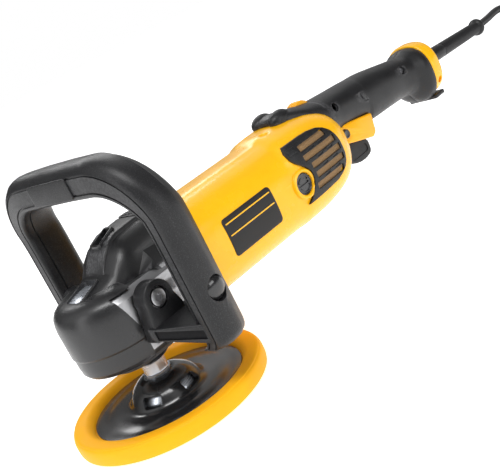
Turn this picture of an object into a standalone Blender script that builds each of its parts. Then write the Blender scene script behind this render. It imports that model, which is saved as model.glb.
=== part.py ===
"""Rotary polisher with a bail handle, a backing pad and its cord, built in metres with +Z up.

The origin is the middle of the pad's lower face, on the spindle axis. +X runs back along the motor
towards the cord, and -Y is the side with the bail handle's right foot.
"""

import math

import bmesh
import bpy
from mathutils import Matrix, Vector

GAP = 0.0003

# Pad, hub and spindle
PAD_RADIUS = 0.089
PAD_RIM_TOP = 0.0165
PAD_FLOOR = 0.0085
DISC_RADIUS = 0.069
HUB_TOP = 0.0300
SPINDLE_RADIUS = 0.0078
COLLAR_BOTTOM = 0.0312
COLLAR_TOP = 0.0440

# Gear case
CASE_RADIUS = 0.0440
NOSE_X = -0.011
CASE_BOTTOM = 0.0500
CASE_TOP = 0.1180
BARREL_RADIUS = 0.0445
COVER_RADIUS = 0.0465
SCREW_OFFSET = 0.0290
PLATE_FRONT = 0.0500
PLATE_REAR = 0.0560

# Spindle lock
LOCK_X = 0.0505
LOCK_PIN_RADIUS = 0.0020

# Motor
AXIS_Z = 0.100
SECOND_Z = 0.0825
SHAFT_RADIUS = 0.0042
MOTOR_BORE = 0.0365
HOUSING_FRONT = 0.0640
BRUSH_X = 0.2010
BRUSH_Z = 0.0975

# Gears
SPUR_TEETH = 26
PINION_TEETH = 9
BEVEL_TEETH = 30
BEVEL_PINION_TEETH = 12
TOOTH_SHARE = 0.62
TIP_TAPER = 0.45

# Bail handle
BAIL_HALF_WIDTH = 0.1080
BAIL_TOP = 0.2235
BAIL_CORNER = 0.0600
EAR_INNER = 0.0463
EAR_OUTER = 0.0620
EAR_X = -0.0028
EAR_Z = 0.1035
EAR_ROUND = 0.0145
BAIL_SCREW_RADIUS = 0.0040

# Rear handle
HANDLE_FRONT = 0.2890
HANDLE_REAR = 0.4685
BAND_REAR = 0.4845
LOCK_ON = (0.3045, 0.1030)
TRIGGER_PIVOT = (0.3090, 0.0930)
DIAL_CENTRE = (0.2800, 0.1400)
DIAL_RADIUS = 0.0145

# Cord
CORD_RADIUS = 0.0044
RELIEF_START = Vector((0.4850, 0.0, 0.1083))
RELIEF_END = Vector((0.6235, 0.0, 0.1015))
COIL_CENTRE = (0.8000, 0.0)
COIL_RADIUS = 0.0500
COIL_HALF_WIDTH = 0.0140
COIL_BOTTOM = 0.0012
COIL_TOP = 0.0366

FINISHES = {
    "yellow": ((0.95, 0.55, 0.01, 1), 0.0, 0.35),
    "orange": ((0.90, 0.36, 0.01, 1), 0.0, 0.35),
    "black": ((0.035, 0.035, 0.037, 1), 0.0, 0.5),
    "rubber": ((0.05, 0.05, 0.052, 1), 0.0, 0.7),
    "steel": ((0.60, 0.60, 0.61, 1), 1.0, 0.25),
    "aluminium": ((0.70, 0.70, 0.70, 1), 1.0, 0.4),
    "copper": ((0.80, 0.40, 0.22, 1), 1.0, 0.35),
    "carbon": ((0.03, 0.03, 0.03, 1), 0.0, 0.8),
    "mesh": ((0.45, 0.32, 0.15, 1), 0.6, 0.5),
    "brass": ((0.80, 0.62, 0.25, 1), 1.0, 0.3),
}


def clear_scene():
    for obj in list(bpy.data.objects):
        bpy.data.objects.remove(obj)


def material(name, finish):
    colour, metallic, roughness = FINISHES[finish]
    made = bpy.data.materials.new(name)
    made.use_nodes = True
    shader = made.node_tree.nodes["Principled BSDF"]
    shader.inputs["Base Color"].default_value = colour
    shader.inputs["Metallic"].default_value = metallic
    shader.inputs["Roughness"].default_value = roughness
    made.diffuse_color = colour
    return made


def object_from(name, bm, finish):
    """Links a bmesh as an object with its own material. No finish makes it a hidden cutter."""
    bmesh.ops.recalc_face_normals(bm, faces=bm.faces)
    mesh = bpy.data.meshes.new(name)
    bm.to_mesh(mesh)
    bm.free()
    obj = bpy.data.objects.new(name, mesh)
    bpy.context.collection.objects.link(obj)
    if finish:
        mesh.materials.append(material(name, finish))
        mesh.shade_smooth()
        mesh.set_sharp_from_angle(angle=math.radians(35))
    else:
        obj.hide_render = True
        obj.display_type = "WIRE"
    return obj


def skin(rings):
    """A closed mesh through rings of equally many points, with both ends capped."""
    bm = bmesh.new()
    rows = [[bm.verts.new(point) for point in ring] for ring in rings]
    count = len(rows[0])
    for near, far in zip(rows, rows[1:]):
        for i in range(count):
            j = (i + 1) % count
            bm.faces.new((near[i], near[j], far[j], far[i]))
    bm.faces.new(rows[0])
    bm.faces.new(rows[-1])
    return bm


def loft(name, rings, finish=None):
    return object_from(name, skin(rings), finish)


def prism(name, outline, low, high, axis, finish=None):
    """An outline pushed along an axis. It holds (y, z) for X, (x, z) for Y and (x, y) for Z."""
    place = {
        "X": lambda a, b, c: (c, a, b),
        "Y": lambda a, b, c: (a, c, b),
        "Z": lambda a, b, c: (a, b, c),
    }[axis]
    return loft(name, [[place(a, b, c) for a, b in outline] for c in (low, high)], finish)


def box(name, low, high, finish=None):
    outline = [(low[0], low[1]), (high[0], low[1]), (high[0], high[1]), (low[0], high[1])]
    return prism(name, outline, low[2], high[2], "Z", finish)


def circle(radius, count=28, centre=(0.0, 0.0), turn=0.0):
    step = 2 * math.pi / count
    return [
        (
            centre[0] + radius * math.cos(turn + i * step),
            centre[1] + radius * math.sin(turn + i * step),
        )
        for i in range(count)
    ]


def turned(name, profile, finish=None, axis="Z", at=(0.0, 0.0, 0.0), count=28):
    """Turns a closed outline of (radius, height) about an axis through at."""
    bm = bmesh.new()
    rows = []
    for radius, height in profile:
        if radius < 1e-9:
            rows.append([bm.verts.new((0, 0, height))] * count)
        else:
            rows.append([bm.verts.new((x, y, height)) for x, y in circle(radius, count)])
    for k, row in enumerate(rows):
        following = rows[(k + 1) % len(rows)]
        for i in range(count):
            j = (i + 1) % count
            corners = list(dict.fromkeys((row[i], row[j], following[j], following[i])))
            if len(corners) > 2:
                bm.faces.new(corners)
    turns = {
        "Z": Matrix.Identity(4),
        "X": Matrix.Rotation(math.radians(90), 4, "Y"),
        "Y": Matrix.Rotation(math.radians(-90), 4, "X"),
    }
    bm.transform(Matrix.Translation(at) @ turns[axis])
    return object_from(name, bm, finish)


def rod(name, radius, low, high, axis, centre, finish=None, count=20):
    """A plain cylinder along an axis, with centre as (y, z), (x, z) or (x, y)."""
    return prism(name, circle(radius, count, centre), low, high, axis, finish)


def tube(name, inner, outer, low, high, axis, at, finish, count=24):
    profile = [(outer, low), (outer, high), (inner, high), (inner, low)]
    return turned(name, profile, finish, axis, at, count)


def boolean(obj, other, operation):
    step = obj.modifiers.new(operation.title(), "BOOLEAN")
    step.operation = operation
    step.solver = "EXACT"
    step.object = other
    return obj


def cut(obj, *cutters):
    for cutter in cutters:
        boolean(obj, cutter, "DIFFERENCE")
    return obj


def join(obj, *others):
    for other in others:
        boolean(obj, other, "UNION")
    return obj


def oval(x, half_y, low, high, power=2.6, count=32):
    """A rounded section across X between two heights."""
    middle = (low + high) / 2
    half_z = (high - low) / 2
    points = []
    for i in range(count):
        angle = 2 * math.pi * i / count
        c = math.cos(angle)
        s = math.sin(angle)
        y = half_y * math.copysign(abs(c) ** (2 / power), c)
        z = middle + half_z * math.copysign(abs(s) ** (2 / power), s)
        points.append((x, y, z))
    return points


def stadium(radius, rear, z, steps=12):
    """A half-round nose with straight sides back to rear, at height z."""
    points = []
    for i in range(steps + 1):
        angle = math.pi / 2 + math.pi * i / steps
        points.append((NOSE_X + radius * math.cos(angle), radius * math.sin(angle), z))
    return points + [(rear, -radius, z), (rear, radius, z)]


def rounded_box(low, high, radius, steps=3):
    """A rectangle from low to high with round corners."""
    corners = [
        (high[0] - radius, high[1] - radius, 0),
        (low[0] + radius, high[1] - radius, 90),
        (low[0] + radius, low[1] + radius, 180),
        (high[0] - radius, low[1] + radius, 270),
    ]
    points = []
    for a, b, start in corners:
        for i in range(steps + 1):
            angle = math.radians(start + 90 * i / steps)
            points.append((a + radius * math.cos(angle), b + radius * math.sin(angle)))
    return points


def spinning(name, at):
    """An empty on a joint axis, which the moving pieces hang from."""
    pivot = bpy.data.objects.new(name, None)
    pivot.location = at
    pivot.empty_display_size = 0.01
    bpy.context.collection.objects.link(pivot)
    return pivot


def hang(pivot, *pieces):
    for piece in pieces:
        piece.parent = pivot
        piece.matrix_parent_inverse = Matrix.Translation(pivot.location).inverted()


# Pad and spindle


def pad_foam():
    rim = PAD_RIM_TOP
    profile = [
        (0, 0),
        (0.0865, 0),
        (PAD_RADIUS, 0.0035),
        (PAD_RADIUS, 0.0110),
        (0.0875, 0.0150),
        (0.0850, rim),
        (0.0760, rim),
        (0.0725, 0.0145),
        (DISC_RADIUS + 0.0008, PAD_FLOOR + 0.0010),
        (DISC_RADIUS + 0.0006, PAD_FLOOR),
        (0, PAD_FLOOR),
    ]
    return turned("pad_foam", profile, "yellow", count=48)


def backing_disc():
    low = PAD_FLOOR + GAP
    profile = [
        (DISC_RADIUS, low),
        (DISC_RADIUS, low + 0.0014),
        (0.0450, 0.0110),
        (0.0330, 0.0120),
        (0.0300, 0.0200),
        (0.0230, 0.0268),
        (0.0165, HUB_TOP),
        (0.0122, HUB_TOP),
        (0.0122, 0.0275),
        (0.0200, 0.0245),
        (0.0265, 0.0190),
        (0.0290, 0.0120),
        (0.0290, low),
    ]
    disc = turned("backing_disc", profile, "black", count=32)
    for i in range(5):
        angle = math.radians(64 + 72 * i)
        window = box(f"hub_window_{i + 1}", (0.0175, -0.0085, 0.0150), (0.0400, 0.0085, 0.0225))
        window.rotation_euler.z = angle
        cut(disc, window)
    return disc


def hub_nut():
    low = PAD_FLOOR + GAP + 0.0004
    profile = [
        (0.0240, low),
        (0.0240, 0.0125),
        (0.0160, 0.0150),
        (0.0118, 0.0200),
        (0.0118, COLLAR_BOTTOM - GAP),
        (SPINDLE_RADIUS + 0.0002, COLLAR_BOTTOM - GAP),
        (SPINDLE_RADIUS + 0.0002, low),
    ]
    return turned("hub_nut", profile, "steel", count=20)


def spindle():
    profile = [
        (0, 0.0096),
        (SPINDLE_RADIUS - 0.0008, 0.0096),
        (SPINDLE_RADIUS, 0.0104),
        (SPINDLE_RADIUS, COLLAR_BOTTOM),
        (0.0122, COLLAR_BOTTOM),
        (0.0122, COLLAR_BOTTOM + 0.0012),
        (0.0108, COLLAR_BOTTOM + 0.0016),
        (0.0108, COLLAR_TOP - 0.0016),
        (0.0122, COLLAR_TOP - 0.0012),
        (0.0122, COLLAR_TOP),
        (0.0085, COLLAR_TOP),
        (0.0085, 0.0885),
        (0.0048, 0.0885),
        (0.0048, 0.0985),
        (0, 0.0985),
    ]
    piece = turned("spindle", profile, "steel", count=20)
    for i, side in enumerate((-1, 1)):
        flat = box(
            f"collar_flat_{i + 1}",
            (-0.0200, 0.0088, COLLAR_BOTTOM + 0.0022),
            (0.0200, 0.0200, COLLAR_TOP - 0.0022),
        )
        flat.rotation_euler.z = math.radians(-38 + 90 * side)
        cut(piece, flat)
    return piece


def tooth_ring(root, tip, teeth, width, turn=0.0):
    """A gear's outline: teeth with a tapered flank. width is the share of a pitch at the root."""
    points = []
    pitch = 2 * math.pi / teeth
    top = width * TIP_TAPER
    for i in range(teeth):
        middle = turn + i * pitch
        for radius, share in ((root, -width), (tip, -top), (tip, top), (root, width)):
            angle = middle + share * pitch / 2
            points.append((radius * math.cos(angle), radius * math.sin(angle)))
    return points


def bevel_gear():
    """A face gear on the spindle. Its teeth stand on the upper face, along the radius."""
    base = 0.0640
    face = 0.0700
    gear = turned(
        "bevel_gear",
        [(0.0280, base), (0.0280, face), (0.0090, face), (0.0090, base)],
        "steel",
        count=30,
    )
    inner, inner_half = 0.0145, 0.0006
    outer, outer_half = 0.0272, 0.0011
    low = [(inner, -inner_half), (outer, -outer_half), (outer, outer_half), (inner, inner_half)]
    for i in range(BEVEL_TEETH):
        turn = Matrix.Rotation(2 * math.pi * (i + 0.5) / BEVEL_TEETH, 4, "Z")
        rings = [
            [turn @ Vector((x, y, face - 0.0005)) for x, y in low],
            [turn @ Vector((x, y * TIP_TAPER, face + 0.0025)) for x, y in low],
        ]
        join(gear, loft(f"bevel_tooth_{i + 1}", rings))
    return gear


def spindle_train():
    pivot = spinning("spindle_axis", (0, 0, 0.060))
    pieces = [
        pad_foam(),
        backing_disc(),
        hub_nut(),
        spindle(),
        bevel_gear(),
    ]
    hang(pivot, *pieces)


# Gear case

CASE_SCREWS = [
    (SCREW_OFFSET * across, AXIS_Z + SCREW_OFFSET * up)
    for across, up in ((-1, 1), (1, 1), (-1, -1), (1, -1))
]


def case_solid(name, grow, finish=None):
    """The outside of the aluminium case, grown evenly by grow."""
    radius = CASE_RADIUS + grow
    rear = 0.0400
    body = loft(
        name,
        [
            stadium(radius - 0.0025, rear, CASE_BOTTOM - grow),
            stadium(radius, rear, CASE_BOTTOM + 0.0025 - grow),
            stadium(radius, rear, CASE_TOP - 0.0060 + grow),
            stadium(radius - 0.0060, rear, CASE_TOP + grow),
        ],
        finish,
    )
    barrel = loft(
        f"{name}_barrel",
        [
            [(-0.0120, y, z) for y, z in circle(0.0260 + grow, 30, (0, 0.0920))],
            [(0.0240, y, z) for y, z in circle(BARREL_RADIUS + grow, 30, (0, AXIS_Z))],
            [(HOUSING_FRONT - GAP, y, z) for y, z in circle(BARREL_RADIUS + grow, 30, (0, AXIS_Z))],
        ],
    )
    return join(body, barrel)


def gear_case():
    case = case_solid("gear_case", 0.0, "aluminium")
    inside = CASE_RADIUS - 0.0035
    heights = (CASE_BOTTOM + 0.0095, CASE_TOP - 0.0040)
    room = loft("case_room", [stadium(inside, 0.0380, z) for z in heights])
    drum = rod("case_drum", 0.0385, 0.0200, 0.0700, "X", (0, AXIS_Z), count=28)
    seat = rod("lower_seat", 0.0153, 0.0400, 0.0620, "Z", (0, 0), count=24)
    cut(case, room, drum, seat)
    boss_top = CASE_TOP - 0.0020
    boss = turned(
        "upper_boss",
        [
            (0.0122, 0.0895),
            (0.0122, boss_top),
            (0, boss_top),
            (0, 0.0990),
            (0.0098, 0.0990),
            (0.0098, 0.0895),
        ],
        count=20,
    )
    join(case, boss)
    pin_hole = rod("lock_pin_hole", 0.0026, 0.1300, 0.1500, "Z", (LOCK_X, 0), count=12)
    cut(case, pin_hole)
    for i, at in enumerate(CASE_SCREWS):
        cut(case, rod(f"case_screw_hole_{i + 1}", 0.0023, 0.0560, 0.0700, "X", at, count=10))
    for i, side in enumerate((-1, 1)):
        ends = (0.0400 * side, 0.0500 * side)
        cut(case, rod(f"bail_hole_{i + 1}", 0.0043, *ends, "Y", (EAR_X, EAR_Z), count=14))
    return case


def case_cover():
    """The rubber boot over the nose and the top of the gear case."""
    rear = -0.0100
    cover = loft(
        "gear_case_cover",
        [
            stadium(0.0415, rear, 0.0560),
            stadium(0.0450, rear, 0.0600),
            stadium(COVER_RADIUS, rear, 0.0700),
            stadium(COVER_RADIUS, rear, 0.1060),
            stadium(0.0440, rear, 0.1160),
            stadium(0.0390, rear, 0.1225),
            stadium(0.0300, rear, 0.1262),
        ],
        "rubber",
    )
    hump = loft(
        "cover_hump",
        [
            oval(-0.0360, 0.0200, 0.0900, 0.1275, 3.2),
            oval(-0.0150, 0.0290, 0.0900, 0.1345, 3.2),
            oval(0.0030, 0.0320, 0.0900, 0.1465, 3.0),
            oval(0.0180, 0.0330, 0.0900, 0.1525, 2.8),
            oval(0.0380, 0.0340, 0.0900, 0.1545, 2.8),
            oval(HOUSING_FRONT - 0.0015, 0.0340, 0.0900, 0.1530, 2.8),
        ],
    )
    join(cover, hump)
    cut(cover, case_solid("case_clearance", GAP))
    flank = [
        (-0.0313, 0.1250),
        (-0.0202, 0.0885),
        (-0.0179, 0.0500),
        (0.0700, 0.0500),
        (0.0700, 0.1250),
    ]
    for i, side in enumerate((-1, 1)):
        low, high = sorted((0.0330 * side, 0.0600 * side))
        cut(cover, prism(f"flank_{i + 1}", flank, low, high, "Y"))
    slot = prism(
        "nose_slot",
        rounded_box((-0.0405, -0.0105), (-0.0140, 0.0105), 0.0030, 2),
        0.1186,
        0.1500,
        "Z",
    )
    window = box("hump_slot", (0.0050, -0.0055, 0.1400), (0.0235, 0.0055, 0.1700))
    pocket_outline = rounded_box((0.0440, -0.0165), (0.0575, 0.0165), 0.0050)
    pocket = prism("button_pocket", pocket_outline, 0.1480, 0.1700, "Z")
    pin = rod("button_pin_hole", 0.0026, 0.1350, 0.1600, "Z", (LOCK_X, 0), count=12)
    return cut(cover, slot, window, pocket, pin)


def bearings():
    middle = (0, 0, 0)
    second = (0, 0, SECOND_Z)
    motor = (0, 0, AXIS_Z)
    bore = SHAFT_RADIUS + 0.0002
    tube("spindle_bearing_lower", 0.0087, 0.0150, CASE_BOTTOM, 0.0590, "Z", middle, "steel", 20)
    tube("spindle_bearing_upper", 0.0050, 0.0095, 0.0898, 0.0980, "Z", middle, "steel", 16)
    tube("second_shaft_bearing", bore, 0.0080, PLATE_FRONT, PLATE_REAR, "X", second, "steel", 16)
    tube("armature_bearing_front", bore, 0.0080, PLATE_FRONT, PLATE_REAR, "X", motor, "steel", 16)
    tube("armature_bearing_rear", bore, 0.0095, 0.2130, 0.2200, "X", motor, "steel", 16)


def bearing_plate():
    centre = (0, AXIS_Z)
    plate = rod("bearing_plate", 0.0381, PLATE_FRONT, PLATE_REAR, "X", centre, "aluminium", 28)
    upper = rod("armature_seat", 0.0083, 0.0400, 0.0600, "X", centre, count=24)
    lower = rod("second_seat", 0.0083, 0.0400, 0.0600, "X", (0, SECOND_Z), count=20)
    notch = box("lock_pin_notch", (0.0450, -0.0033, 0.1290), (0.0541, 0.0033, 0.1450))
    return cut(plate, notch, upper, lower)


def spindle_retainer():
    top = CASE_BOTTOM - GAP
    return tube("spindle_retainer", 0.0092, 0.0290, 0.0446, top, "Z", (0, 0, 0), "aluminium", 28)


def second_shaft():
    pivot = spinning("second_axis", (0.03, 0, SECOND_Z))
    shaft = turned(
        "second_shaft",
        [(0, 0.0200), (0.0040, 0.0200), (0.0040, 0.0565), (0, 0.0565)],
        "steel",
        "X",
        (0, 0, SECOND_Z),
        14,
    )
    ring = tooth_ring(0.0075, 0.0105, BEVEL_PINION_TEETH, TOOTH_SHARE, math.pi / 2)
    small = [(0.72 * y, 0.72 * z) for y, z in ring]
    pinion = loft(
        "bevel_pinion",
        [
            [(0.0140, y, SECOND_Z + z) for y, z in small],
            [(0.0226, y, SECOND_Z + z) for y, z in ring],
        ],
    )
    join(shaft, pinion)
    in_mesh = math.pi / 2 + math.pi / SPUR_TEETH
    teeth = tooth_ring(0.0118, 0.0137, SPUR_TEETH, TOOTH_SHARE, in_mesh)
    outline = [(y, SECOND_Z + z) for y, z in teeth]
    gear = prism("second_gear", outline, 0.0400, 0.0470, "X", "steel")
    cut(gear, rod("second_gear_bore", 0.0043, 0.0300, 0.0500, "X", (0, SECOND_Z), count=14))
    hang(pivot, shaft, gear)


# Motor


def armature():
    pivot = spinning("armature_axis", (0.13, 0, AXIS_Z))
    teeth = tooth_ring(0.0032, 0.0052, PINION_TEETH, TOOTH_SHARE, -math.pi / 2)
    blades = tooth_ring(0.0140, 0.0330, 11, 0.42)
    at = (0, 0, AXIS_Z)
    profile = [(0, 0.0470), (SHAFT_RADIUS, 0.0490), (SHAFT_RADIUS, 0.2215), (0, 0.2215)]
    shaft = turned("armature_shaft", profile, "steel", "X", at, 14)
    pinion = [(y, AXIS_Z + z) for y, z in teeth]
    join(shaft, prism("armature_pinion", pinion, 0.0390, 0.0485, "X"))
    core = tube("armature_core", 0.0045, 0.0215, 0.0980, 0.1620, "X", at, "steel", 24)
    commutator = tube("commutator", 0.0045, 0.0130, 0.1930, 0.2090, "X", at, "copper", 20)
    vanes = [(y, AXIS_Z + z) for y, z in blades]
    fan = prism("fan", vanes, 0.0700, 0.0800, "X", "black")
    plate = rod("fan_plate", 0.0335, 0.0795, 0.0815, "X", (0, AXIS_Z), count=24)
    join(fan, plate)
    cut(fan, rod("fan_bore", 0.0045, 0.0600, 0.0900, "X", (0, AXIS_Z), count=14))
    hang(pivot, shaft, core, commutator, fan)


def stator():
    return tube("stator", 0.0225, 0.0362, 0.0950, 0.1650, "X", (0, 0, AXIS_Z), "steel", 28)


HOUSING_SECTIONS = [
    (0.0640, 0.0440, 0.0560, 0.1440),
    (0.0680, 0.0455, 0.0545, 0.1455),
    (0.1900, 0.0462, 0.0538, 0.1462),
    (0.2060, 0.0480, 0.0530, 0.1500),
    (0.2320, 0.0485, 0.0535, 0.1508),
    (0.2560, 0.0480, 0.0565, 0.1490),
    (0.2720, 0.0455, 0.0610, 0.1450),
    (0.2820, 0.0415, 0.0675, 0.1400),
    (0.2885, 0.0370, 0.0740, 0.1340),
]


def housing_solid(name, grow=0.0, finish=None):
    rings = [
        oval(x, half + grow, low - grow, high + grow) for x, half, low, high in HOUSING_SECTIONS
    ]
    return loft(name, rings, finish)


VENT_OUTLINE = [
    (0.1935, 0.1350),
    (0.2250, 0.1362),
    (0.2480, 0.1335),
    (0.2600, 0.1250),
    (0.2655, 0.1110),
    (0.2650, 0.0970),
    (0.2590, 0.0865),
    (0.2440, 0.0800),
    (0.1980, 0.0775),
    (0.2060, 0.0860),
    (0.2128, 0.0960),
    (0.2122, 0.1060),
    (0.2040, 0.1140),
    (0.1985, 0.1230),
]
VENT_MIDDLE = (0.2330, 0.1070)


def grown(outline, middle, amount):
    """The outline with each point moved away from the middle by amount."""
    points = []
    for a, b in outline:
        away = Vector((a - middle[0], b - middle[1]))
        moved = Vector((a, b)) + away.normalized() * amount
        points.append((moved.x, moved.y))
    return points


def dial_slot(name):
    """The cutter that gives the dial its room in each piece round it."""
    return rod(name, DIAL_RADIUS + 0.0008, -0.0070, 0.0070, "Y", DIAL_CENTRE)


def motor_housing():
    housing = housing_solid("motor_housing", finish="yellow")
    at = (0, AXIS_Z)
    cut(
        housing,
        rod("motor_bore", MOTOR_BORE, 0.0500, 0.2105, "X", at, count=28),
        rod("rear_bearing_seat", 0.0098, 0.2000, 0.2400, "X", at, count=20),
        rod("rear_chamber", 0.0290, 0.2215, 0.3000, "X", (0, 0.1040), count=24),
        dial_slot("housing_dial_slot"),
    )
    pocket = grown(VENT_OUTLINE, VENT_MIDDLE, GAP * 2)
    for i, side in enumerate((-1, 1)):
        low, high = sorted((0.0438 * side, 0.0600 * side))
        cut(housing, prism(f"vent_pocket_{i + 1}", pocket, low, high, "Y"))
        low, high = sorted((0.0300 * side, 0.0600 * side))
        cut(housing, rod(f"cap_seat_{i + 1}", 0.0108, low, high, "Y", (BRUSH_X, BRUSH_Z), count=24))
        corners = spans((0.2260, 0.2560), (0.0200 * side, 0.0500 * side), (0.0880, 0.1240))
        cut(housing, box(f"air_way_{i + 1}", *corners))
    for i, at in enumerate(CASE_SCREWS):
        cut(housing, rod(f"housing_screw_hole_{i + 1}", 0.0023, 0.0500, 0.0760, "X", at, count=10))
    return housing


def spans(x, y, z):
    """Two opposite corners of a box, from its three spans in either order."""
    return [min(x), min(y), min(z)], [max(x), max(y), max(z)]


VENT_ROWS = [
    (0.1235, 0.1290, 0.2080, 0.2500),
    (0.1125, 0.1185, 0.2130, 0.2590),
    (0.1005, 0.1065, 0.2175, 0.2605),
    (0.0895, 0.0945, 0.2175, 0.2560),
]


def vents():
    screen = grown(VENT_OUTLINE, VENT_MIDDLE, -0.0030)
    for name, side in (("right", -1), ("left", 1)):
        low, high = sorted((0.0458 * side, 0.0492 * side))
        frame = prism(f"vent_frame_{name}", VENT_OUTLINE, low, high, "Y", "black")
        for i, (bottom, top, front, rear) in enumerate(VENT_ROWS):
            corners = spans((front, rear), (0.0400 * side, 0.0600 * side), (bottom, top))
            cut(frame, box(f"vent_slot_{name}_{i + 1}", *corners))
        low, high = sorted((0.0443 * side, 0.0454 * side))
        prism(f"vent_screen_{name}", screen, low, high, "Y", "mesh")


def brush_block(name, half_x, y, half_z, finish=None):
    """A box round the brush's way, between two distances from the motor's axis."""
    x = (BRUSH_X - half_x, BRUSH_X + half_x)
    return box(name, *spans(x, y, (AXIS_Z - half_z, AXIS_Z + half_z)), finish)


def brushes():
    profile = [(0, 0.0430), (0.0103, 0.0430), (0.0103, 0.0465), (0.0092, 0.0472), (0, 0.0472)]
    for name, side in (("right", -1), ("left", 1)):
        outline = [(radius, side * height) for radius, height in profile]
        cap = turned(f"brush_cap_{name}", outline, "black", "Y", (BRUSH_X, 0, BRUSH_Z), 24)
        x = (BRUSH_X - 0.0070, BRUSH_X + 0.0070)
        z = (BRUSH_Z - 0.0009, BRUSH_Z + 0.0009)
        cut(cap, box(f"cap_groove_{name}", *spans(x, (0.0458 * side, 0.0500 * side), z)))
        brush_block(f"brush_{name}", 0.0050, (0.0133 * side, 0.0300 * side), 0.0030, "carbon")
        case = (0.0155 * side, 0.0425 * side)
        holder = brush_block(f"brush_holder_{name}", 0.0070, case, 0.0050, "brass")
        through = (0.0100 * side, 0.0500 * side)
        cut(holder, brush_block(f"brush_way_{name}", 0.0053, through, 0.0033))


def side_panels():
    outline = rounded_box((0.0960, 0.0815), (0.1610, 0.1170), 0.0030)
    for name, side in (("right", -1), ("left", 1)):
        low, high = sorted((0.0464 * side, 0.0472 * side))
        prism(f"side_panel_{name}", outline, low, high, "Y", "black")


def case_screws():
    for i, (y, z) in enumerate(CASE_SCREWS):
        turned(
            f"case_screw_{i + 1}",
            [(0, 0.0573), (0.0020, 0.0573), (0.0020, 0.0745), (0, 0.0745)],
            "steel",
            "X",
            (0, y, z),
            10,
        )


# Bail handle


def bail_path():
    """Points and outward directions of the handle's outer line, from the right foot to the left."""
    radius = BAIL_CORNER
    rows = [(-BAIL_HALF_WIDTH, z, -1.0, 0.0) for z in (0.0480, 0.0620, 0.0900, 0.1250, 0.1500)]
    side = BAIL_HALF_WIDTH - radius
    for i in range(1, 7):
        angle = math.radians(180 - 90 * i / 7)
        c = math.cos(angle)
        s = math.sin(angle)
        rows.append((-side + radius * c, BAIL_TOP - radius + radius * s, c, s))
    half = rows + [(-side, BAIL_TOP, 0.0, 1.0), (-0.0200, BAIL_TOP + 0.0006, 0.0, 1.0)]
    return half + [(-y, z, -a, b) for y, z, a, b in reversed(half)]


def bail_section(y, z, out_y, out_z, blend):
    """One section. blend runs from 0 on the arms to 1 on the crossbar."""
    front = -0.0008 - 0.0076 * blend
    rear = 0.0375 - 0.0085 * blend
    thick = 0.0230 + 0.0065 * blend
    shape = [
        (front + 0.0012, 0.0),
        (front + 0.0110, 0.0),
        (front + 0.0230, 0.0012),
        (rear - 0.0090, 0.0050),
        (rear - 0.0025, 0.0115),
        (rear, thick * 0.72),
        (rear - 0.0040, thick * 0.92),
        (rear - 0.0110, thick),
        (front + 0.0040, thick),
        (front, thick - 0.0030),
        (front, 0.0012),
    ]
    return [(x, y - out_y * depth, z - out_z * depth) for x, depth in shape]


def ear_outline():
    points = [(-0.0225, 0.0735), (0.0160, 0.0735), (0.0150, 0.0900)]
    for k in range(9):
        angle = math.radians(-10 + 200 * k / 8)
        points.append((EAR_X + EAR_ROUND * math.cos(angle), EAR_Z + EAR_ROUND * math.sin(angle)))
    return points


def bail_handle():
    rings = []
    for y, z, out_y, out_z in bail_path():
        rings.append(bail_section(y, z, out_y, out_z, min(max(out_z, 0.0), 1.0)))
    handle = loft("bail_handle", rings, "black")
    for i, side in enumerate((-1, 1)):
        foot = [
            (-0.0235, 0.0560),
            (-0.0230, 0.0600),
            (0.0005, 0.0960),
            (0.0300, 0.0960),
            (0.0350, 0.0560),
        ]
        base = loft(
            f"bail_foot_{i + 1}",
            [
                [(x, side * y, 0.0740 - (y - 0.0620) * 0.48) for x, y in foot],
                [(x, side * y, 0.0850 - (y - 0.0620) * 0.30) for x, y in foot],
            ],
        )
        low, high = sorted((EAR_INNER * side, EAR_OUTER * side))
        join(handle, base, prism(f"bail_ear_{i + 1}", ear_outline(), low, high, "Y"))
        for label, radius, start, end, at in (
            ("ear_bore", 0.0043, 0.0400, 0.0700, (EAR_X, EAR_Z)),
            ("ear_sink", 0.0070, 0.0575, 0.0700, (EAR_X, EAR_Z)),
            ("arm_recess", 0.0060, 0.0990, 0.1200, (0.0215, 0.0930)),
        ):
            cut(handle, rod(f"{label}_{i + 1}", radius, start * side, end * side, "Y", at, count=18))
    return handle


def bail_screws():
    profile = [
        (0, 0.0415),
        (BAIL_SCREW_RADIUS, 0.0415),
        (BAIL_SCREW_RADIUS, 0.0578),
        (0.0066, 0.0578),
        (0.0066, 0.0600),
        (0.0060, 0.0608),
        (0, 0.0608),
    ]
    hexagon = circle(0.0032, 6, (EAR_X, EAR_Z))
    for name, side in (("right", -1), ("left", 1)):
        outline = [(radius, side * height) for radius, height in profile]
        screw = turned(f"bail_screw_{name}", outline, "steel", "Y", (EAR_X, 0, EAR_Z), 18)
        cut(screw, prism(f"screw_socket_{name}", hexagon, 0.0580 * side, 0.0700 * side, "Y"))


def lock_button():
    pivot = spinning("lock_axis", (LOCK_X, 0, 0.1530))
    outline = rounded_box((0.0445, -0.0160), (0.0570, 0.0160), 0.0045)
    button = prism("lock_button", outline, 0.1518, 0.1568, "Z", "rubber")
    join(button, rod("lock_pin", LOCK_PIN_RADIUS, 0.1370, 0.1530, "Z", (LOCK_X, 0), count=12))
    hang(pivot, button)


# Rear handle

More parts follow.
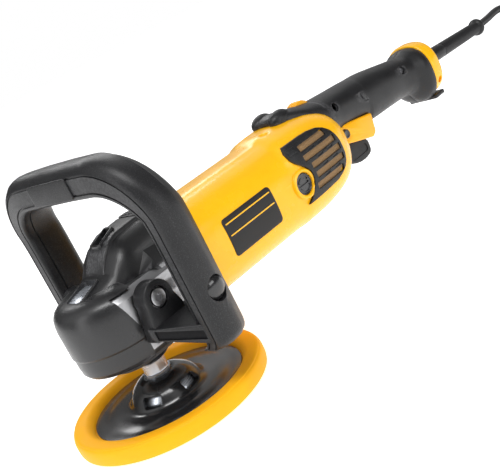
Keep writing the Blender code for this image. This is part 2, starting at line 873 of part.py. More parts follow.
HANDLE_SECTIONS = [
    (0.2890, 0.0300, 0.1005, 0.1490),
    (0.3080, 0.0265, 0.1045, 0.1470),
    (0.3300, 0.0250, 0.1020, 0.1455),
    (0.3540, 0.0245, 0.0975, 0.1440),
    (0.3600, 0.0245, 0.0930, 0.1435),
    (0.3800, 0.0240, 0.0918, 0.1422),
    (0.4050, 0.0230, 0.0910, 0.1385),
    (0.4350, 0.0218, 0.0892, 0.1335),
    (0.4480, 0.0225, 0.0870, 0.1315),
    (0.4560, 0.0262, 0.0770, 0.1330),
    (0.4620, 0.0285, 0.0720, 0.1345),
    (0.4685, 0.0292, 0.0705, 0.1345),
]
HANDLE_SCREWS = [(0.3030, 0.1330), (0.4290, 0.1205)]


def handle_halves():
    hollow_sections = [HANDLE_SECTIONS[k] for k in (0, 2, 5, 7)]
    for name, side in (("right", -1), ("left", 1)):
        rings = [oval(x, w, low, high, 2.4, 24) for x, w, low, high in HANDLE_SECTIONS]
        half = loft(f"handle_{name}", rings, "black")
        wall = 0.0040
        inside = [
            oval(x + (0.0010 if x > 0.4 else -0.0010), w - wall, low + wall, high - wall, 2.4, 16)
            for x, w, low, high in hollow_sections
        ]
        hollow = loft(f"handle_hollow_{name}", inside)
        other_side = spans((0.2500, 0.5000), (-0.0600 * side, GAP / 2 * side), (0.0400, 0.1800))
        cut(half, hollow, box(f"handle_split_{name}", *other_side), dial_slot(f"dial_slot_{name}"))
        for i, at in enumerate(HANDLE_SCREWS):
            cut(half, rod(f"handle_bore_{name}_{i + 1}", 0.0022, -0.0400, 0.0400, "Y", at, count=10))
            if side < 0:
                cut(half, rod(f"handle_sink_{i + 1}", 0.0045, -0.0400, -0.0165, "Y", at, count=14))
        if side < 0:
            cut(half, rod("handle_lock_on_way", 0.0054, -0.0400, -0.0140, "Y", LOCK_ON, count=14))


def handle_screws():
    profile = [
        (0, -0.0192),
        (0.0038, -0.0192),
        (0.0038, -0.0168),
        (0.0019, -0.0168),
        (0.0019, 0.0150),
        (0, 0.0150),
    ]
    for i, (x, z) in enumerate(HANDLE_SCREWS):
        turned(f"handle_screw_{i + 1}", profile, "steel", "Y", (x, 0, z), 14)


def dial_housing():
    pod = loft(
        "dial_housing",
        [
            oval(0.2215, 0.0130, 0.1440, 0.1545, 2.6, 24),
            oval(0.2260, 0.0185, 0.1400, 0.1580, 2.6, 24),
            oval(0.2400, 0.0210, 0.1380, 0.1590, 2.6, 24),
            oval(0.2560, 0.0250, 0.1350, 0.1560, 2.6, 24),
            oval(0.2720, 0.0285, 0.1200, 0.1525, 2.4, 24),
            oval(HANDLE_FRONT - GAP, 0.0300, 0.1080, 0.1492, 2.4, 24),
        ],
        "black",
    )
    cut(pod, housing_solid("housing_clearance", GAP))
    return cut(pod, dial_slot("pod_dial_slot"))


def speed_dial():
    x, z = DIAL_CENTRE
    pivot = spinning("dial_axis", (x, 0, z))
    ring = tooth_ring(DIAL_RADIUS - 0.0008, DIAL_RADIUS, 18, 0.6)
    wheel = prism("speed_dial", [(x + a, z + b) for a, b in ring], -0.0062, 0.0062, "Y", "orange")
    cut(wheel, rod("dial_bore", 0.0030, -0.0100, 0.0100, "Y", DIAL_CENTRE, count=12))
    hang(pivot, wheel)


def rear_band():
    band = loft(
        "rear_band",
        [
            oval(HANDLE_REAR + GAP, 0.0298, 0.0742, 0.1362, 2.4, 28),
            oval(HANDLE_REAR + 0.0040, 0.0305, 0.0742, 0.1370, 2.4, 28),
            oval(BAND_REAR - 0.0030, 0.0302, 0.0742, 0.1366, 2.4, 28),
            oval(BAND_REAR, 0.0280, 0.0760, 0.1345, 2.4, 28),
        ],
        "yellow",
    )
    for i, side in enumerate((-1, 1)):
        ends = (0.0240 * side, 0.0400 * side)
        cut(band, rod(f"band_sink_{i + 1}", 0.0036, *ends, "Y", (0.4765, 0.0880), count=14))
    return band


def rear_lip():
    low = (HANDLE_REAR + GAP, -0.0190, 0.0690)
    high = (BAND_REAR + 0.0030, 0.0190, 0.0738)
    return box("rear_lip", low, high, "black")


def switch_shroud():
    outline = [
        (0.2960, 0.1150),
        (0.3540, 0.1045),
        (0.3500, 0.0850),
        (0.3440, 0.0815),
        (0.3060, 0.0920),
    ]
    shroud = prism("switch_shroud", outline, -0.0225, 0.0225, "Y", "orange")
    room = prism(
        "trigger_room",
        [(0.3020, 0.0700), (0.3020, 0.0985), (0.3480, 0.0985), (0.3480, 0.0700)],
        -0.0122,
        0.0122,
        "Y",
    )
    rings = [oval(x, w + GAP, low - GAP, high, 2.4, 24) for x, w, low, high in HANDLE_SECTIONS[:8]]
    clearance = loft("handle_clearance", rings)
    front = housing_solid("shroud_front_clearance", GAP)
    button = rod("lock_on_way", 0.0052, -0.0400, -0.0140, "Y", LOCK_ON, count=14)
    return cut(shroud, room, clearance, front, button)


def trigger():
    x, z = TRIGGER_PIVOT
    pivot = spinning("trigger_axis", (x, 0, z))
    outline = [
        (0.3055, 0.0960),
        (0.3120, 0.0965),
        (0.3400, 0.0850),
        (0.3455, 0.0790),
        (0.3450, 0.0690),
        (0.3400, 0.0650),
        (0.3300, 0.0635),
        (0.3170, 0.0655),
        (0.3080, 0.0720),
        (0.3050, 0.0820),
    ]
    lever = prism("trigger", outline, -0.0110, 0.0110, "Y", "rubber")
    hang(pivot, lever)


def lock_on_button():
    x, z = LOCK_ON
    pivot = spinning("lock_on_axis", (x, -0.0230, z))
    button = turned(
        "lock_on_button",
        [(0, -0.0255), (0.0035, -0.0255), (0.0048, -0.0245), (0.0048, -0.0180), (0, -0.0180)],
        "black",
        "Y",
        (x, 0, z),
        16,
    )
    hang(pivot, button)


def switch_module():
    return box("switch_module", (0.3180, -0.0105, 0.1095), (0.3520, 0.0105, 0.1330), "carbon")


# Cord


def along(points, per_span):
    """A smooth curve through the route's points, as a Catmull-Rom spline."""
    points = [Vector(p) for p in points]
    padded = [2 * points[0] - points[1]] + points + [2 * points[-1] - points[-2]]
    out = []
    for a, b, c, d in zip(padded, padded[1:], padded[2:], padded[3:]):
        for i in range(per_span):
            t = i / per_span
            square = 2 * a - 5 * b + 4 * c - d
            cube = 3 * b - a - 3 * c + d
            out.append(0.5 * (2 * b + (c - a) * t + square * t**2 + cube * t**3))
    return out + [points[-1]]


LEAD_ROUTE = [
    (0.6241, 0.0, 0.1015),
    (0.6480, 0.0, 0.1022),
    (0.6760, -0.0015, 0.1035),
    (0.7030, -0.0080, 0.0960),
    (0.7290, -0.0220, 0.0750),
    (0.7520, -0.0395, 0.0520),
    (0.7730, -0.0525, 0.0424),
    (0.7960, -0.0588, 0.0414),
]
TAIL_ROUTE = [
    (0.8000, -0.0690, 0.0060),
    (0.8180, -0.0710, 0.0068),
    (0.8360, -0.0745, 0.0082),
]


def cord_tube(name, route, per_span):
    curve = bpy.data.curves.new(name, "CURVE")
    curve.dimensions = "3D"
    curve.bevel_depth = CORD_RADIUS
    curve.bevel_resolution = 2
    curve.use_fill_caps = True
    points = along(route, per_span)
    spline = curve.splines.new("POLY")
    spline.points.add(len(points) - 1)
    for spot, point in zip(spline.points, points):
        spot.co = (*point, 1)
    obj = bpy.data.objects.new(name, curve)
    bpy.context.collection.objects.link(obj)
    curve.materials.append(material(name, "rubber"))
    return obj


def strain_relief():
    axis = RELIEF_END - RELIEF_START
    length = axis.length
    profile = [
        (0, 0),
        (0.0090, 0),
        (0.0086, length * 0.30),
        (0.0074, length - 0.0075),
        (0.0100, length - 0.0070),
        (0.0104, length - 0.0040),
        (0.0092, length),
        (0, length),
    ]
    relief = turned("strain_relief", profile, "rubber", count=18)
    turn = axis.to_track_quat("Z", "Y").to_matrix().to_4x4()
    relief.matrix_world = Matrix.Translation(RELIEF_START) @ turn
    return relief


def coil():
    sides = 12
    middle = (COIL_BOTTOM + COIL_TOP) / 2
    flat = math.cos(math.pi / sides)
    half = (COIL_TOP - COIL_BOTTOM) / 2 / flat
    outline = []
    for a, b in circle(1.0, sides, turn=math.pi / sides):
        outline.append((COIL_RADIUS + COIL_HALF_WIDTH * a, middle + half * b))
    return turned("cord_coil", outline, "rubber", at=(*COIL_CENTRE, 0), count=32)


PLUG_SECTIONS = [
    (0.0, (-0.0060, -0.0060), (0.0060, 0.0060)),
    (0.0140, (-0.0075, -0.0075), (0.0075, 0.0080)),
    (0.0200, (-0.0130, -0.0078), (0.0130, 0.0095)),
    (0.0360, (-0.0130, -0.0078), (0.0130, 0.0095)),
]


def plug():
    """A two-pin plug that lies at the end of the cord's tail."""
    x, y, z = TAIL_ROUTE[-1]
    start = x + 0.0012
    rings = [
        [(start + along_x, y + a, z + b) for a, b in rounded_box(low, high, 0.0040, 2)]
        for along_x, low, high in PLUG_SECTIONS
    ]
    body = loft("plug", rings, "rubber")
    tip = start + PLUG_SECTIONS[-1][0]
    blade = rounded_box((-0.0008, -0.0032), (0.0008, 0.0032), 0.0007, 1)
    for i, side in enumerate((-1, 1)):
        outline = [(y + side * 0.0064 + a, z + 0.0008 + b) for a, b in blade]
        join(body, prism(f"plug_pin_{i + 1}", outline, tip - 0.0020, tip + 0.0180, "X"))
    return body


def cord_tie():
    """A strap round the coil's far side."""
    x = COIL_CENTRE[0] + COIL_RADIUS
    z = (COIL_BOTTOM + COIL_TOP) / 2
    thick = 0.0009
    wide = COIL_HALF_WIDTH + 0.0020
    outer = rounded_box((x - wide, 0.0), (x + wide, 2 * z), 0.0090, 4)
    hole_low = (x - wide + thick, thick)
    hole_high = (x + wide - thick, 2 * z - thick)
    inner = rounded_box(hole_low, hole_high, 0.0080, 4)
    strap = prism("cord_tie", outer, -0.0060, 0.0060, "Y", "black")
    return cut(strap, prism("tie_hole", inner, -0.0100, 0.0100, "Y"))


def main():
    clear_scene()
    spindle_train()
    gear_case()
    case_cover()
    bearings()
    bearing_plate()
    spindle_retainer()
    second_shaft()
    armature()
    stator()
    motor_housing()
    vents()
    brushes()
    side_panels()
    case_screws()
    bail_handle()
    bail_screws()
    lock_button()
    handle_halves()
    handle_screws()
    dial_housing()
    speed_dial()
    rear_band()
    rear_lip()
    switch_shroud()
    trigger()
    lock_on_button()
    switch_module()
    strain_relief()
    cord_tube("cord_lead", LEAD_ROUTE, 4)
    cord_tube("cord_tail", TAIL_ROUTE, 3)
    coil()
    plug()
    cord_tie()


main()
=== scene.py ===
"""The looks of a rotary polisher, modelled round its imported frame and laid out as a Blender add-on."""

import math

import bmesh
import bpy
from mathutils import Matrix, Vector


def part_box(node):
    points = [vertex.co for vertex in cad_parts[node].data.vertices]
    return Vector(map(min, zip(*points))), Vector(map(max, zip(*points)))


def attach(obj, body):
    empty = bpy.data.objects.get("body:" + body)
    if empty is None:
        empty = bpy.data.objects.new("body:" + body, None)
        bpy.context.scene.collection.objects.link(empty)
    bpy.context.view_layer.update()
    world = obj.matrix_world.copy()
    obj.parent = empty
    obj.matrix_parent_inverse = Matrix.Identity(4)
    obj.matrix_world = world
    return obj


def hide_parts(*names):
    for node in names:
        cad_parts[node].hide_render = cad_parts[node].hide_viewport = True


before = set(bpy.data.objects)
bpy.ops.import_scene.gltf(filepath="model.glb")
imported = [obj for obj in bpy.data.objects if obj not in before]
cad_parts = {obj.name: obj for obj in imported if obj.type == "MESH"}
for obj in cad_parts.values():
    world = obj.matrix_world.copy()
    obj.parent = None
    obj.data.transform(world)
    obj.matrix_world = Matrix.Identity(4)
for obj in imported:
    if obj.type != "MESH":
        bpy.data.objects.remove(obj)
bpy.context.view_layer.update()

bl_info = {
    "name": "Rotary Polisher",
    "version": (1, 0, 0),
    "blender": (4, 5, 0),
    "location": "View3D > Sidebar > Polisher",
    "description": "Builds a corded rotary polisher with its bail handle, pad, motor and cord",
    "category": "Add Mesh",
}

SIDES = (("right", -1), ("left", 1))
AXIS_Z = 0.1
BRUSH_X, BRUSH_Z = 0.201, 0.0975
EAR_X, EAR_Z = -0.0028, 0.1035
DIAL_X, DIAL_Z = 0.28, 0.14
DIAL_RADIUS = 0.0145
LOCK_ON = (0.3045, 0.103)
HOUSING_POWER, HANDLE_POWER, POD_POWER = 2.6, 2.4, 2.5
CLEARANCE = 0.0003
BARREL_RADIUS, CASE_REAR = 0.0445, 0.04
BOOT_REAR = -0.01
CORD_RADIUS = 0.0044
RELIEF_START = Vector((0.485, 0.0, 0.1083))
RELIEF_END = Vector((0.6235, 0.0, 0.1015))
PIN_AT = (0.0505, 0.0)
ARM_CAP_X, ARM_CAP_Z = 0.0185, 0.0965


def mm(rows):
    """Rows of millimetres as tuples of metres."""
    return [tuple(round(value / 1000, 7) for value in row) for row in rows]


# Sizes and colours that a user may change


class PolisherSizes(bpy.types.PropertyGroup):
    pad_radius: bpy.props.FloatProperty(
        name="Pad Radius", description="Outer radius of the backing pad",
        default=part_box("pad_foam")[1].x, unit="LENGTH", precision=4,
    )
    cord_diameter: bpy.props.FloatProperty(
        name="Cord Diameter", description="Outer diameter of the cord's jacket",
        default=2 * CORD_RADIUS, unit="LENGTH", precision=4,
    )
    seam_width: bpy.props.FloatProperty(
        name="Groove Width", description="Width of the styling grooves in the bail handle",
        default=0.0011, unit="LENGTH", precision=4,
    )
    floor_size: bpy.props.FloatProperty(
        name="Floor Size", description="Side of the square floor",
        default=12.0, unit="LENGTH", precision=1,
    )


def colour_property(name, description, default):
    return bpy.props.FloatVectorProperty(
        name=name, description=description, default=default, subtype="COLOR", size=3, min=0.0, max=1.0
    )


class PolisherColours(bpy.types.PropertyGroup):
    shell: colour_property("Shell", "Bright yellow of the motor housing", (1.0, 0.5, 0.002))
    trim: colour_property("Trim", "Orange-yellow of the switch shroud and dial", (1.0, 0.45, 0.003))
    foam: colour_property("Pad Rim", "Yellow of the moulded backing pad", (1.0, 0.46, 0.005))
    plastic: colour_property("Plastic", "Dark grey of the glass-filled plastic", (0.009, 0.009, 0.01))
    boot: colour_property("Boot", "Grey of the gear case's rubber boot", (0.017, 0.017, 0.018))
    gloss: colour_property("Gloss Black", "Black of the backing disc and brush caps", (0.012, 0.012, 0.013))
    alloy: colour_property("Alloy", "Cast aluminium of the gear case", (0.4, 0.4, 0.41))
    screen: colour_property("Screen", "Tan of the woven vent screens", (0.36, 0.215, 0.095))
    floor: colour_property("Floor", "Pale floor", (0.93, 0.93, 0.93))


# Shader node groups


def feed(tree, socket, value):
    """Links a socket to another node's output, or sets its value."""
    if isinstance(value, bpy.types.NodeSocket):
        tree.links.new(value, socket)
    else:
        socket.default_value = value


def add_node(tree, kind, **inputs):
    """A new node, with its sockets set from names that have _ for a space."""
    made = tree.nodes.new(kind)
    for key, value in inputs.items():
        feed(tree, made.inputs[key.replace("_", " ")], value)
    return made


def math_node(tree, operation, first, second=0.0, clamp=False):
    made = tree.nodes.new("ShaderNodeMath")
    made.operation = operation
    made.use_clamp = clamp
    feed(tree, made.inputs[0], first)
    feed(tree, made.inputs[1], second)
    return made.outputs[0]


def grey(tree, shade):
    """A colour with the same value in all three channels."""
    return add_node(tree, "ShaderNodeCombineColor", Red=shade, Green=shade, Blue=shade).outputs[0]


def new_group(name, inputs, outputs):
    tree = bpy.data.node_groups.new(name, "ShaderNodeTree")
    for label, kind, default in inputs:
        socket = tree.interface.new_socket(label, in_out="INPUT", socket_type=kind)
        if default is not None:
            socket.default_value = default
    for label, kind in outputs:
        tree.interface.new_socket(label, in_out="OUTPUT", socket_type=kind)
    return tree, tree.nodes.new("NodeGroupInput"), tree.nodes.new("NodeGroupOutput")


def mix_colours(tree, factor, first, second, blend="MIX"):
    made = tree.nodes.new("ShaderNodeMix")
    made.data_type = "RGBA"
    made.blend_type = blend
    for index, value in ((0, factor), (6, first), (7, second)):
        feed(tree, made.inputs[index], value)
    return made.outputs[2]


def map_range(tree, value, low, high, to_low, to_high):
    made = add_node(tree, "ShaderNodeMapRange", Value=value)
    for key, number in (("From Min", low), ("From Max", high), ("To Min", to_low), ("To Max", to_high)):
        made.inputs[key].default_value = number
    return made.outputs[0]


def grain_and_highlight_group():
    """Fine moulded grain: a height for bump, and a mask of fine spots for a painted highlight in the colour.
    """
    tree, given, out = new_group(
        "Moulded Grain and Speck Highlights",
        [("Vector", "NodeSocketVector", None), ("Scale", "NodeSocketFloat", 1800.0)],
        [("Height", "NodeSocketFloat"), ("Speck Highlights", "NodeSocketFloat")],
    )
    noise = add_node(
        tree, "ShaderNodeTexNoise", Vector=given.outputs[0], Scale=given.outputs[1], Detail=3.0, Roughness=0.6
    )
    cells = add_node(tree, "ShaderNodeTexVoronoi", Vector=given.outputs[0], Scale=given.outputs[1])
    height = math_node(tree, "MULTIPLY", noise.outputs[0], cells.outputs[0])
    tree.links.new(height, out.inputs[0])
    tree.links.new(map_range(tree, noise.outputs[0], 0.52, 0.7, 0.0, 1.0), out.inputs[1])
    return tree


def wear_and_hollow_shade_group():
    """Wear from use: brighter rubbed edges and faint smudges, with painted shade darkening the hollows."""
    tree, given, out = new_group(
        "Handling Wear and Hollow Shade",
        [
            ("Vector", "NodeSocketVector", None),
            ("Colour", "NodeSocketColor", (0.5, 0.5, 0.5, 1.0)),
            ("Edge Colour", "NodeSocketColor", (0.8, 0.8, 0.8, 1.0)),
            ("Edge Amount", "NodeSocketFloat", 0.3),
            ("Roughness", "NodeSocketFloat", 0.4),
            ("Smudge", "NodeSocketFloat", 0.08),
        ],
        [("Colour", "NodeSocketColor"), ("Roughness", "NodeSocketFloat"), ("Edges", "NodeSocketFloat")],
    )
    vector, colour, edge_colour, amount, roughness, smudge = given.outputs[:6]
    broad = add_node(tree, "ShaderNodeTexNoise", Vector=vector, Scale=38.0, Detail=4.0, Roughness=0.55)
    breakup = add_node(tree, "ShaderNodeTexNoise", Vector=vector, Scale=420.0, Detail=3.0)
    point = tree.nodes.new("ShaderNodeNewGeometry").outputs["Pointiness"]
    edge = map_range(tree, point, 0.53, 0.6, 0.0, 1.0)
    broken = map_range(tree, breakup.outputs[0], 0.38, 0.62, 0.2, 1.0)
    edges = math_node(tree, "MULTIPLY", math_node(tree, "MULTIPLY", edge, broken), amount, True)
    # Painted shade: the colour darkens down to 0.86 where the surface is hollow (low pointiness).
    hollow = map_range(tree, point, 0.36, 0.47, 0.86, 1.0)
    tone = math_node(tree, "MULTIPLY", map_range(tree, broad.outputs[0], 0.3, 0.7, 0.96, 1.03), hollow)
    toned = mix_colours(tree, 1.0, colour, grey(tree, tone), "MULTIPLY")
    tree.links.new(mix_colours(tree, edges, toned, edge_colour), out.inputs[0])
    swing = math_node(tree, "MULTIPLY", map_range(tree, broad.outputs[0], 0.35, 0.65, -1.0, 1.0), smudge)
    tree.links.new(math_node(tree, "ADD", roughness, swing, True), out.inputs[1])
    tree.links.new(edges, out.inputs[2])
    return tree


def turning_group():
    """Fine lines left by a lathe or a brush: stripes across one direction, for bump and roughness."""
    tree, given, out = new_group(
        "Tool Marks",
        [("Vector", "NodeSocketVector", None), ("Scale", "NodeSocketVector", (1.0, 1.0, 1.0))],
        [("Height", "NodeSocketFloat"), ("Shine", "NodeSocketFloat")],
    )
    place = add_node(tree, "ShaderNodeMapping", Vector=given.outputs[0], Scale=given.outputs[1])
    noise = add_node(
        tree, "ShaderNodeTexNoise", Vector=place.outputs[0], Scale=1.0, Detail=5.0, Roughness=0.7
    )
    tree.links.new(noise.outputs[0], out.inputs[0])
    tree.links.new(map_range(tree, noise.outputs[0], 0.3, 0.7, 0.0, 1.0), out.inputs[1])
    return tree


GROUPS = {}


def group_node(tree, name, **inputs):
    made = tree.nodes.new("ShaderNodeGroup")
    made.node_tree = GROUPS[name]
    for key, value in inputs.items():
        feed(tree, made.inputs[key.replace("_", " ")], value)
    return made


# Materials

FINISHES = {}


def start_material(name):
    made = bpy.data.materials.new(name)
    made.use_nodes = True
    tree = made.node_tree
    shader = tree.nodes["Principled BSDF"]
    place = tree.nodes.new("ShaderNodeTexCoord").outputs["Object"]
    FINISHES[name] = made
    return tree, shader, place


def bump(tree, shader, height, distance):
    made = add_node(tree, "ShaderNodeBump", Strength=1.0, Distance=distance, Height=height)
    tree.links.new(made.outputs[0], shader.inputs["Normal"])


def wear_and_hollow_shade(tree, place, colour, edge, wear, roughness, smudge):
    """The colour and roughness of a surface once it is rubbed and smudged, with painted shade in its hollows.
    """
    use = group_node(
        tree, "Handling Wear and Hollow Shade", Vector=place, Colour=colour, Edge_Colour=(*edge, 1.0), Edge_Amount=wear,
        Roughness=roughness, Smudge=smudge,
    )
    return use.outputs[0], use.outputs[1]


def moulded(
    name, colour, edge, roughness, grain, depth, wear=0.3, coat=0.0, smudge=0.06, speck_highlight=0.0, specular=0.5
):
    """A moulded plastic or rubber: grain of a scale and a depth, rubbed edges, and fine spots of painted
    highlight.
    """
    tree, shader, place = start_material(name)
    fine = group_node(tree, "Moulded Grain and Speck Highlights", Vector=place, Scale=grain)
    worn_and_shaded, rough = wear_and_hollow_shade(tree, place, (*colour, 1.0), edge, wear, roughness, smudge)
    # Painted highlight: fine spots lighten the colour towards the edge colour.
    lit = mix_colours(tree, math_node(tree, "MULTIPLY", fine.outputs[1], speck_highlight), worn_and_shaded, (*edge, 1.0))
    tree.links.new(lit, shader.inputs["Base Color"])
    tree.links.new(rough, shader.inputs["Roughness"])
    shader.inputs["Coat Weight"].default_value = coat
    shader.inputs["Specular IOR Level"].default_value = specular
    shader.inputs["Coat Roughness"].default_value = 0.25
    bump(tree, shader, fine.outputs[0], depth)


def machined(name, colour, roughness, marks, depth, metallic=1.0):
    """A metal with smudges, bright edges, and tool marks as a scale along each axis and a depth."""
    tree, shader, place = start_material(name)
    lines = group_node(tree, "Tool Marks", Vector=place, Scale=marks)
    bright = tuple(min(1.0, 1.25 * c + 0.05) for c in colour)
    worn_and_shaded, rough = wear_and_hollow_shade(tree, place, (*colour, 1.0), bright, 0.25, roughness, 0.05)
    tree.links.new(worn_and_shaded, shader.inputs["Base Color"])
    rough = math_node(tree, "ADD", rough, math_node(tree, "MULTIPLY", lines.outputs[1], 0.1), True)
    tree.links.new(rough, shader.inputs["Roughness"])
    shader.inputs["Metallic"].default_value = metallic
    bump(tree, shader, lines.outputs[0], depth)


def patterned(name, colour, pattern, depth, edge, wear, roughness, metallic):
    """A metal whose pattern gives the shade and the height at each place."""
    tree, shader, place = start_material(name)
    shade, height = pattern(tree, place)
    tinted = mix_colours(tree, 1.0, (*colour, 1.0), grey(tree, shade), "MULTIPLY")
    worn_and_shaded, rough = wear_and_hollow_shade(tree, place, tinted, edge, wear, roughness, 0.1)
    tree.links.new(worn_and_shaded, shader.inputs["Base Color"])
    tree.links.new(rough, shader.inputs["Roughness"])
    shader.inputs["Metallic"].default_value = metallic
    bump(tree, shader, height, depth)


THREADS = 4200.0
COPPER_BARS = 22.0
SHEETS = 6000.0


def woven_threads(tree, place):
    """Two sets of threads across each other."""
    parts = add_node(tree, "ShaderNodeSeparateXYZ", Vector=place)
    waves = []
    for axis, shift in ((0, 0.0), (2, 0.7)):
        phase = math_node(tree, "ADD", math_node(tree, "MULTIPLY", parts.outputs[axis], THREADS), shift)
        waves.append(math_node(tree, "ABSOLUTE", math_node(tree, "SINE", phase)))
    height = math_node(tree, "MAXIMUM", *waves)
    return map_range(tree, height, 0.55, 1.0, 0.35, 1.15), height


def copper_gaps(tree, place):
    """Bars round the armature's axis with thin dark gaps."""
    centred = add_node(tree, "ShaderNodeMapping", Vector=place, Location=(0.0, 0.0, -AXIS_Z))
    parts = add_node(tree, "ShaderNodeSeparateXYZ", Vector=centred.outputs[0])
    angle = math_node(tree, "ARCTAN2", parts.outputs[1], parts.outputs[2])
    wave = math_node(tree, "SINE", math_node(tree, "MULTIPLY", angle, COPPER_BARS))
    gap = map_range(tree, wave, 0.8, 0.95, 1.0, 0.15)
    return gap, gap


def stacked_sheets(tree, place):
    """Sheets of electrical steel, seen as fine lines across X."""
    parts = add_node(tree, "ShaderNodeSeparateXYZ", Vector=place)
    wave = math_node(tree, "SINE", math_node(tree, "MULTIPLY", parts.outputs[0], SHEETS))
    return map_range(tree, wave, -1.0, 1.0, 0.75, 1.1), wave


def make_materials(colours):
    GROUPS.update({
        "Moulded Grain and Speck Highlights": grain_and_highlight_group(),
        "Handling Wear and Hollow Shade": wear_and_hollow_shade_group(),
        "Tool Marks": turning_group(),
    })
    shell, trim, foam = tuple(colours.shell), tuple(colours.trim), tuple(colours.foam)
    plastic, boot, gloss = tuple(colours.plastic), tuple(colours.boot), tuple(colours.gloss)
    pale_yellow = (1.0, 0.66, 0.1)
    # rubbed is the colour of rubbed edges and also of the painted speck highlights.
    rubbed = (0.2, 0.2, 0.21)
    steel_edge = (0.5, 0.5, 0.5)
    moulded("yellow shell", shell, pale_yellow, 0.26, 900.0, 0.00005, 0.25, 0.45, 0.03, specular=0.26)
    moulded("orange trim", trim, pale_yellow, 0.34, 900.0, 0.00006, 0.25, 0.25, specular=0.26)
    moulded("pad rim", foam, (1.0, 0.62, 0.06), 0.55, 1400.0, 0.0001, 0.3, specular=0.22)
    moulded("glass filled plastic", plastic, rubbed, 0.36, 1500.0, 0.00014, 0.3, 0.0, 0.05, 0.16, 0.36)
    moulded("grip rubber", plastic, rubbed, 0.38, 1900.0, 0.0001, 0.22, 0.0, 0.08, 0.06, 0.38)
    moulded("boot rubber", boot, (0.26, 0.26, 0.27), 0.33, 1700.0, 0.00007, 0.35, 0.0, 0.06, 0.04, 0.5)
    moulded("gloss black", gloss, (0.1, 0.1, 0.11), 0.17, 700.0, 0.00003, 0.2, 0.4, 0.05)
    # Painted shade: a near-black, dull sheet that darkens the foot's recess.
    moulded("recess shade sheet", (0.008, 0.008, 0.009), (0.03, 0.03, 0.03), 0.6, 900.0, 0.00008, 0.1, specular=0.12)
    panel = (0.02, 0.019, 0.019)
    moulded("panel black", panel, (0.09, 0.09, 0.09), 0.38, 600.0, 0.00004, 0.2, 0.1, specular=0.2)
    moulded("cord jacket", (0.02, 0.02, 0.021), (0.1, 0.1, 0.1), 0.42, 1500.0, 0.0001, 0.2, 0.0, 0.08, 0.05)
    moulded("strap nylon", (0.016, 0.016, 0.018), (0.08, 0.08, 0.08), 0.7, 2600.0, 0.0003, 0.3)
    moulded("pressed carbon", (0.022, 0.022, 0.022), (0.1, 0.1, 0.1), 0.7, 1200.0, 0.0001, 0.4)
    machined("cast alloy", tuple(colours.alloy), 0.33, (60.0, 900.0, 900.0), 0.00006)
    machined("polished steel", (0.52, 0.55, 0.6), 0.2, (40.0, 40.0, 2600.0), 0.00002, 0.72)
    machined("bolt steel", (0.46, 0.46, 0.47), 0.3, (500.0, 500.0, 500.0), 0.00003)
    machined("gear steel", (0.48, 0.48, 0.49), 0.28, (700.0, 700.0, 700.0), 0.00005)
    machined("black oxide steel", (0.16, 0.16, 0.17), 0.3, (500.0, 500.0, 500.0), 0.00004, 0.9)
    machined("brass sheet", (0.7, 0.5, 0.2), 0.28, (30.0, 600.0, 600.0), 0.00004)
    patterned("tan screen", tuple(colours.screen), woven_threads, 0.0003, (0.6, 0.45, 0.25), 0.1, 0.5, 0.25)
    patterned("copper bars", (0.75, 0.36, 0.18), copper_gaps, 0.0004, (0.9, 0.7, 0.5), 0.1, 0.3, 0.9)
    patterned("sheet steel", (0.3, 0.3, 0.31), stacked_sheets, 0.0001, steel_edge, 0.2, 0.45, 0.8)
    patterned("painted core", (0.11, 0.1, 0.09), stacked_sheets, 0.0001, steel_edge, 0.2, 0.5, 0.8)


# Modelling helpers


def only(obj):
    """Makes one object the only one selected, and the active one."""
    bpy.ops.object.select_all(action="DESELECT")
    obj.select_set(True)
    bpy.context.view_layer.objects.active = obj
    return obj


def fresh(name):
    made = bpy.context.object
    made.name = name
    made.data.name = name
    return made


def settle(obj):
    """Moves an object's place, turn and scale into its mesh."""
    only(obj)
    bpy.ops.object.transform_apply(location=True, rotation=True, scale=True)
    return obj


def open_edit(obj):
    """Opens an object in edit mode with all of it selected."""
    only(obj)
    bpy.ops.object.mode_set(mode="EDIT")
    bpy.ops.mesh.select_all(action="SELECT")


def close_edit():
    """Turns every face outwards and leaves edit mode."""
    bpy.ops.mesh.select_all(action="SELECT")
    bpy.ops.mesh.normals_make_consistent(inside=False)
    bpy.ops.object.mode_set(mode="OBJECT")


def start_ring(name, count, fill="NOTHING"):
    """A new circle of points, which are then put in their places."""
    bpy.ops.object.select_all(action="DESELECT")
    bpy.ops.mesh.primitive_circle_add(vertices=count, radius=0.01, fill_type=fill)
    return fresh(name)


def ball(name, at, radius, steps, scale=(1.0, 1.0, 1.0)):
    bpy.ops.object.select_all(action="DESELECT")
    bpy.ops.mesh.primitive_uv_sphere_add(
        segments=steps, ring_count=steps // 2, radius=radius, location=at, scale=scale
    )
    return settle(fresh(name))


def ends(side, near, far):
    """Two distances out from the middle plane on one side, as the lower and the higher y."""
    return sorted((side * near, side * far))


def modify(obj, kind, **settings):
    """Adds a modifier and applies it."""
    only(obj)
    step = obj.modifiers.new(kind.title(), kind)
    for key, value in settings.items():
        setattr(step, key, value)
    bpy.ops.object.modifier_apply(modifier=step.name)
    return obj


def soften(obj, width, segments=2, angle=35):
    return modify(
        obj, "BEVEL", width=width, segments=segments, limit_method="ANGLE", angle_limit=math.radians(angle),
        harden_normals=False, use_clamp_overlap=True,
    )


def carve(obj, *cutters, operation="DIFFERENCE", solver="EXACT"):
    """Cuts or joins other objects, which are then removed."""
    for cutter in cutters:
        modify(obj, "BOOLEAN", operation=operation, solver=solver, object=cutter)
        if not obj.data.polygons:
            raise RuntimeError(f"nothing is left of {obj.name} after {cutter.name}")
        bpy.data.objects.remove(cutter)
    return obj


def unite(obj, *others, solver="EXACT"):
    return carve(obj, *others, operation="UNION", solver=solver)


def place_key(point):
    return tuple(round(c, 7) for c in Vector(point))


